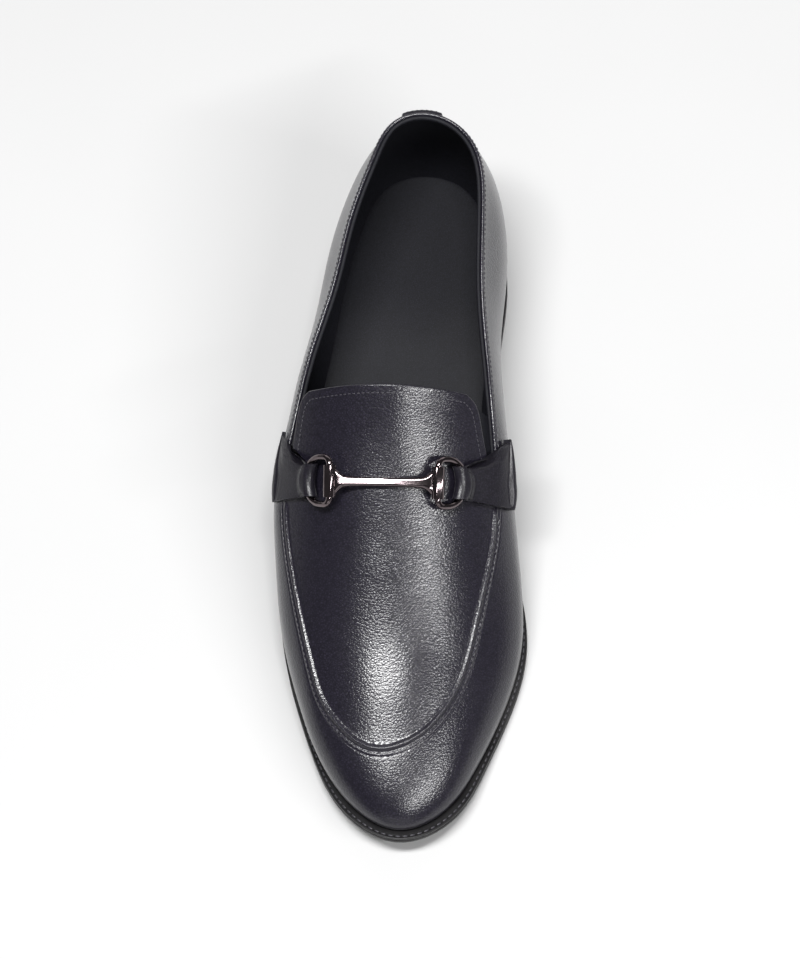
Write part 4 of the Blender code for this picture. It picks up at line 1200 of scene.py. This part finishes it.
def rod_shell():
    """The bar's rod with its two flared necks."""
    curve = Spline([neck.from_axis for neck in NECK], [neck[1:] for neck in NECK])
    half = np.concatenate([np.linspace(NECK[0].from_axis, 8.0, 26), np.linspace(8.0, BIT_HALF, 14)[1:]])
    across = np.concatenate([half - BIT_HALF, (BIT_HALF - half)[::-1][1:]])
    sizes = curve(np.concatenate([half, half[::-1][1:]]))
    rings = []
    for x, (wide, high) in zip(across, sizes):
        radii = flattened(90.0 + ROD_FACE_TURN - ROD_FACE_TWIST * x / BIT_HALF, ROD_FACE_HALF, 56)
        rings.append(ring_round(BIT_CENTRE + ACROSS_AXIS * x, DOWN_AXIS * wide, OUT_AXIS * high, radii))
    shell = Shell()
    shell.tube(rings, capped=True)
    return shell


def barrel_shell(hand):
    """A barrel with rounded ends and a bore for the ring's leg."""
    half = 0.5 * BARREL_LENGTH
    end = [(BORE_RADIUS, 0.1), (BORE_RADIUS + 0.25, 0.0), (BARREL_RADIUS - 0.35, 0.0),
           (BARREL_RADIUS - 0.1, 0.1), (BARREL_RADIUS, 0.35)]
    profile = [(radius, depth - half) for radius, depth in end]
    profile += [(radius, -run) for radius, run in profile[::-1]] + profile[:1]
    middle = BIT_CENTRE + ACROSS_AXIS * hand * BIT_HALF
    faced = flattened(90.0 - hand * BARREL_FACE_TURN, BARREL_FACE_HALF, 72)
    rings = []
    for radius, run in profile:
        radii = radius * (faced if radius > BORE_RADIUS + 0.3 else np.ones_like(faced))
        rings.append(ring_round(middle + DOWN_AXIS * run, ACROSS_AXIS, OUT_AXIS, radii))
    shell = Shell()
    shell.tube(rings)
    return shell


def make_bar():
    """The bit's bar: rod and barrels joined into one."""
    bar = piece("bit_rod", rod_shell(), DARK_METAL, ["bit_bar"])
    for hand in SIDES:
        barrel = piece("barrel", barrel_shell(hand), DARK_METAL)
        join = bar.modifiers.new("join", "BOOLEAN")
        join.operation = "UNION"
        join.solver = "EXACT"
        join.object = barrel
        with bpy.context.temp_override(object=bar, active_object=bar):
            bpy.ops.object.modifier_apply(modifier=join.name)
        bpy.data.objects.remove(barrel, do_unlink=True)
    bar.data.set_sharp_from_angle(angle=math.radians(32.0))


def edge_at(hand, along):
    """The u of the collar or seam at an along value on one side."""
    u = np.linspace(KNOTS[4] if hand < 0 else KNOTS[-4], TOE_AT + 20.0 * hand, 300)
    return np.interp(along, EDGE(u)[:, 1], u)


def ring_bow(q):
    """How far the ring's arc stands out from its centre, at a share q of a strap's half width."""
    return math.sqrt(RING_HALF_HIGH**2 - (STRAP_HALF * q) ** 2)


def strap_skin(hand):
    """The face that a strap lies on: lines from inside the ring outwards, over the seam and down the wall."""
    wall_drop = STRAP_DROP[hand]
    leg, outward, width = ring_axes(hand)
    lines = []
    wires = []
    for q in np.linspace(-1.0, 1.0, STRAP_LINES):
        wire = leg + outward * (width - RING_HALF_HIGH + ring_bow(q)) + DOWN_AXIS * STRAP_HALF * q
        start = wire - RING_STAND * instep_normal(wire[:2])
        edge_start = EDGE(edge_at(hand, start[1]))[0]
        inside = abs(edge_start - start[0]) / math.cos(math.radians(SKIN_SLOPE))
        turn = inside / (inside + wall_drop)
        flare = FLARE_FRONT * q if q > 0 else FLARE_BACK * q
        line = []
        for t in np.linspace(-0.35, 1.0, 46):
            along = start[1] + STRAP_SWEEP * max(t, 0.0) ** SWEEP_CURVE + flare * max(t, 0.0) ** FLARE_CURVE
            u = edge_at(hand, along)
            if t < turn:
                side = start[0] + (EDGE(u)[0] - start[0]) * t / turn
                line.append(on_instep(np.array([side, along])))
            else:
                drop = wall_drop * (t - turn) / (1.0 - turn)
                line.append(wall(u, WallMap([u]).share(drop)[0]))
        lines.append(line)
        wires.append(wire)
    return np.array(lines), np.array(wires)


def strap_section(hand, q, path, wire):
    """Points round a strap at a share q of its half width: under side, loop, upper side and rolled end."""
    out = ring_axes(hand)[1]
    up = np.cross(out, DOWN_AXIS)
    up *= math.copysign(1.0, up[2])
    zero = path.run[np.argmin(np.linalg.norm(path.points - wire, axis=1))]
    end = path.run[-1] - zero - END_BOW * q * q
    stretch = RING_HALF_HIGH / ring_bow(q)
    fold = FOLD_SHARE * (ring_bow(q) - ring_bow(1.0))

    def skin(run, height):
        point, normal, _ = path.at(zero + run)
        return point + normal * height

    def loop(run, height):
        return wire + out * run * stretch + up * height

    def turn(radius, angles):
        return [loop(radius * math.cos(math.radians(t)) - (fold if t > 90.0 else 0.0),
                     radius * math.sin(math.radians(t))) for t in angles]

    loop_in = WIRE_RADIUS + LOOP_CLEAR
    loop_out = loop_in + LOOP_THICK
    low = STRAP_GAP
    high = STRAP_GAP + STRAP_THICK
    points = [skin(end * f + LOOP_JOIN * (1.0 - f), low) for f in np.linspace(1.0, 0.0, 9)]
    points.append(skin(4.6, 1.9))
    points += turn(loop_in, np.linspace(40.0, 285.0, 22))
    points += [loop(LOOP_TAIL, -loop_in + 0.1), loop(LOOP_TAIL, -loop_out + 0.2)]
    points += turn(loop_out, np.linspace(272.0, 82.0, 20))
    crown = RING_STAND + loop_out - high - STRAP_WEDGE[hand]
    lens = ROLL_LEAST + (1.0 - ROLL_LEAST) * math.sqrt(1.0 - q * q)
    last = end - lens * ROLL_SHAPE[0][0] - 0.3
    for run in np.linspace(1.3, last, 16):
        fall = 1.0 - smooth((run - 0.6) / LOOP_FALL)
        wedge = STRAP_WEDGE[hand] * ramp(run / last) + END_LIFT[hand] * smooth(run / last)
        points.append(skin(run, high + wedge + crown * fall))
    roll = ROLL_HIGH[hand] * math.sqrt(1.0 - ROLL_BOW * q * q)
    points += [skin(end - lens * back, high + END_LIFT[hand] + rise * roll) for back, rise in ROLL_SHAPE]
    return points + [skin(end + 0.1, 0.6 * high), skin(end + 0.05, low + 0.3)]


def make_strap(hand):
    """A strap that loops round its ring and ends in a roll down the side."""
    lines, wires = strap_skin(hand)
    normals = unit(np.cross(np.gradient(lines, axis=1), np.gradient(lines, axis=0)))
    normals *= math.copysign(1.0, normals[0, 0, 2])
    rings = []
    for q, line, normal, wire in zip(np.linspace(-1.0, 1.0, STRAP_LINES), lines, normals, wires):
        rings.append(strap_section(hand, q, Path(line, normal), wire))
    rings = np.array(rings)
    opposite = np.roll(np.arange(rings.shape[1])[::-1], 1)
    rims = []
    for rim, inward in ((rings[0], rings[1]), (rings[-1], rings[-2])):
        middle = 0.5 * (rim + rim[opposite])
        rims.append(middle + (rim - middle) * SIDE_SHRINK + unit(rim - inward) * SIDE_ROUND)
    shell = Shell()
    shell.tube(np.concatenate([rims[:1], rings, rims[1:]]), capped=True)
    name = SIDES[hand]
    piece("strap_leather_" + name, shell, BOUND_LEATHER, ["strap_" + name], sharp=50.0)


def plate(low, high):
    """A thin plate between two grids of points."""
    shell = Shell()
    faces = [shell.grid(low), shell.grid(high)]
    shell.skin([border(index) for index in faces], closed=True)
    return shell


def make_gusset(hand):
    """A thin strip from under the tongue's edge down inside the quarter."""
    under = WALL + GAP
    name = SIDES[hand]
    rows = TONGUE[:0:-1]
    knots = [getattr(row, name + "_along") for row in rows] + [THROAT_ALONG]
    sides = [getattr(row, name + "_side") for row in rows] + [EDGE(edge_at(hand, THROAT_ALONG))[0]]
    lines = []
    for along in np.linspace(128.6, 150.5, 16):
        line = []
        tongue_edge = np.interp(along, knots, sides)
        for inset in (7.0, 3.5, 0.8):
            plan = np.array([tongue_edge - hand * inset, along])
            line.append(on_instep(plan) - under * instep_normal(plan))
        part = WallMap([edge_at(hand, along)])
        for drop in (1.2, 5.0, 9.0):
            points, normals, _ = part.frame(drop)
            line.append(points[0] - (under + 0.1) * normals[0])
        lines.append(Spline(np.arange(6), np.array(line))(np.linspace(0.0, 5.0, 21)))
    high = np.array(lines)
    normals = unit(np.cross(np.gradient(high, axis=1), np.gradient(high, axis=0)))
    normals *= -math.copysign(1.0, normals[0, 0, 2])
    piece("gusset_strip_" + name, plate(high + normals, high), LINING_LEATHER, ["gusset_" + name])


def tab_line(grid):
    """The line of the tab's stitches, two points inside its rim and back to its start."""
    sides = [grid[2:-3, 2], grid[-3, 3:-3], grid[2:-3, -3][::-1], grid[2, 3:-3][::-1]]
    return np.concatenate(sides + [sides[0][:1]])


def make_tab():
    """The small tab on the back of the collar, with its row of stitches."""
    part = WallMap(np.linspace(-TAB_HALF, TAB_HALF, 25))
    rows = []
    outs = []
    for drop in np.concatenate([np.linspace(TAB_LOW, 4.0, 14), np.linspace(3.6, TAB_HIGH, 8)]):
        points, normals, _ = part.frame(drop)
        rows.append(points + normals * (0.02 + FOLD_HIGH * (1.0 - smooth((drop - FOLD_WIDE - 1.0) / 1.2))))
        outs.append(normals)
    rows = np.array(rows)
    outs = np.array(outs)
    share = np.full((*rows.shape[:2], 1), TAB_RIM_SHARE)
    share[1:-1, 1:-1] = 1.0
    shell = plate(rows + outs * TAB_GAP, rows + outs * (TAB_GAP + TAB_THICK * share))
    piece("back_tab", shell, BOUND_LEATHER, ["heel_tab"])
    shell = Shell()
    sew(shell, Path(tab_line(rows + outs * (TAB_GAP + TAB_THICK)), tab_line(outs)), TAB_STITCH)
    piece("tab_stitching", shell, THREAD)


make_vamp()
make_lining()
make_apron()
make_stitches()
make_sole()
make_heel()
for hand in SIDES:
    make_ring(hand)
    make_strap(hand)
    make_gusset(hand)
make_bar()
make_tab()

# Camera: the photo's place relative to this shoe, turned to put the shoe in the middle of the frame
CAMERA_PLACE = Vector((0.08238, -0.61043, 1.40032))
CAMERA_AHEAD = Vector((-0.05561, 0.40700, -0.91295)).normalized()
CAMERA_UP = Vector((-0.01913, 0.91335, 0.40674))
FOCAL_PIXELS = 3750.0
FRAME_HIGH = 960.0
SENSOR = 36.0
LIGHT_TARGET = Vector((0.0, -0.06, 0.05))
FLOOR_REACH = 4.0


def put_in_scene(name, data, place, axes):
    """A camera or light at a place, with its own three axes."""
    made = bpy.data.objects.new(name, data)
    made.matrix_world = Matrix.Translation(place) @ Matrix(axes).transposed().to_4x4()
    bpy.context.scene.collection.objects.link(made)
    return made


def make_camera():
    """The camera, upright as in the photo."""
    data = bpy.data.cameras.new("camera")
    data.sensor_fit = "VERTICAL"
    data.sensor_height = SENSOR
    data.lens = FOCAL_PIXELS * SENSOR / FRAME_HIGH
    data.clip_start = 0.05
    right = CAMERA_AHEAD.cross(CAMERA_UP).normalized()
    axes = (right, right.cross(CAMERA_AHEAD), -CAMERA_AHEAD)
    bpy.context.scene.camera = put_in_scene("camera", data, CAMERA_PLACE, axes)


def area_light(name, place, size, watts, along):
    """A soft box that faces the shoe, its first size along a direction."""
    data = bpy.data.lights.new(name, "AREA")
    data.shape = "RECTANGLE"
    data.size, data.size_y = size
    data.energy = watts
    back = (Vector(place) - LIGHT_TARGET).normalized()
    first = Vector(along)
    first = (first - back * first.dot(back)).normalized()
    put_in_scene(name, data, Vector(place), (first, back.cross(first), back))


def make_stage():
    """A plain pale floor, two soft boxes, two fainter lights and an even, dim room."""
    data = bpy.data.meshes.new("floor")
    corners = [(-1, -1), (1, -1), (1, 1), (-1, 1)]
    data.from_pydata([(FLOOR_REACH * x, FLOOR_REACH * y, 0.0) for x, y in corners], [], [(0, 1, 2, 3)])
    n = Nodes("floor", (0.45, 0.45, 0.45), 0.9, specular=0.1)
    cloud = n.noise(3.0, 3.0, 0.5)
    data.materials.append(n.finish(n.tones(cloud, 0.3, (0.44, 0.44, 0.44), 0.7, (0.46, 0.46, 0.46))))
    floor = bpy.data.objects.new("floor", data)
    bpy.context.scene.collection.objects.link(floor)

    area_light("box_inner", (0.946, -0.772, 1.27), (1.20, 0.106), 21.0, (0.775, 0.572, -0.267))
    area_light("box_outer", (-0.147, -0.178, 1.74), (1.00, 0.26), 49.0, (0.989, 0.112, 0.094))
    area_light("fill_front", (0.0, -2.4, 0.75), (2.6, 0.9), 6.5, (1.0, 0.0, 0.0))
    area_light("wall_behind", (0.0, 2.2, 1.1), (3.6, 1.7), 22.0, (1.0, 0.0, 0.0))
    world = bpy.data.worlds.new("studio")
    world.use_nodes = True
    back = world.node_tree.nodes["Background"]
    back.inputs["Color"].default_value = (0.11, 0.11, 0.113, 1.0)
    back.inputs["Strength"].default_value = 1.0
    bpy.context.scene.world = world
    bpy.context.scene.view_settings.view_transform = "Standard"


make_camera()
make_stage()
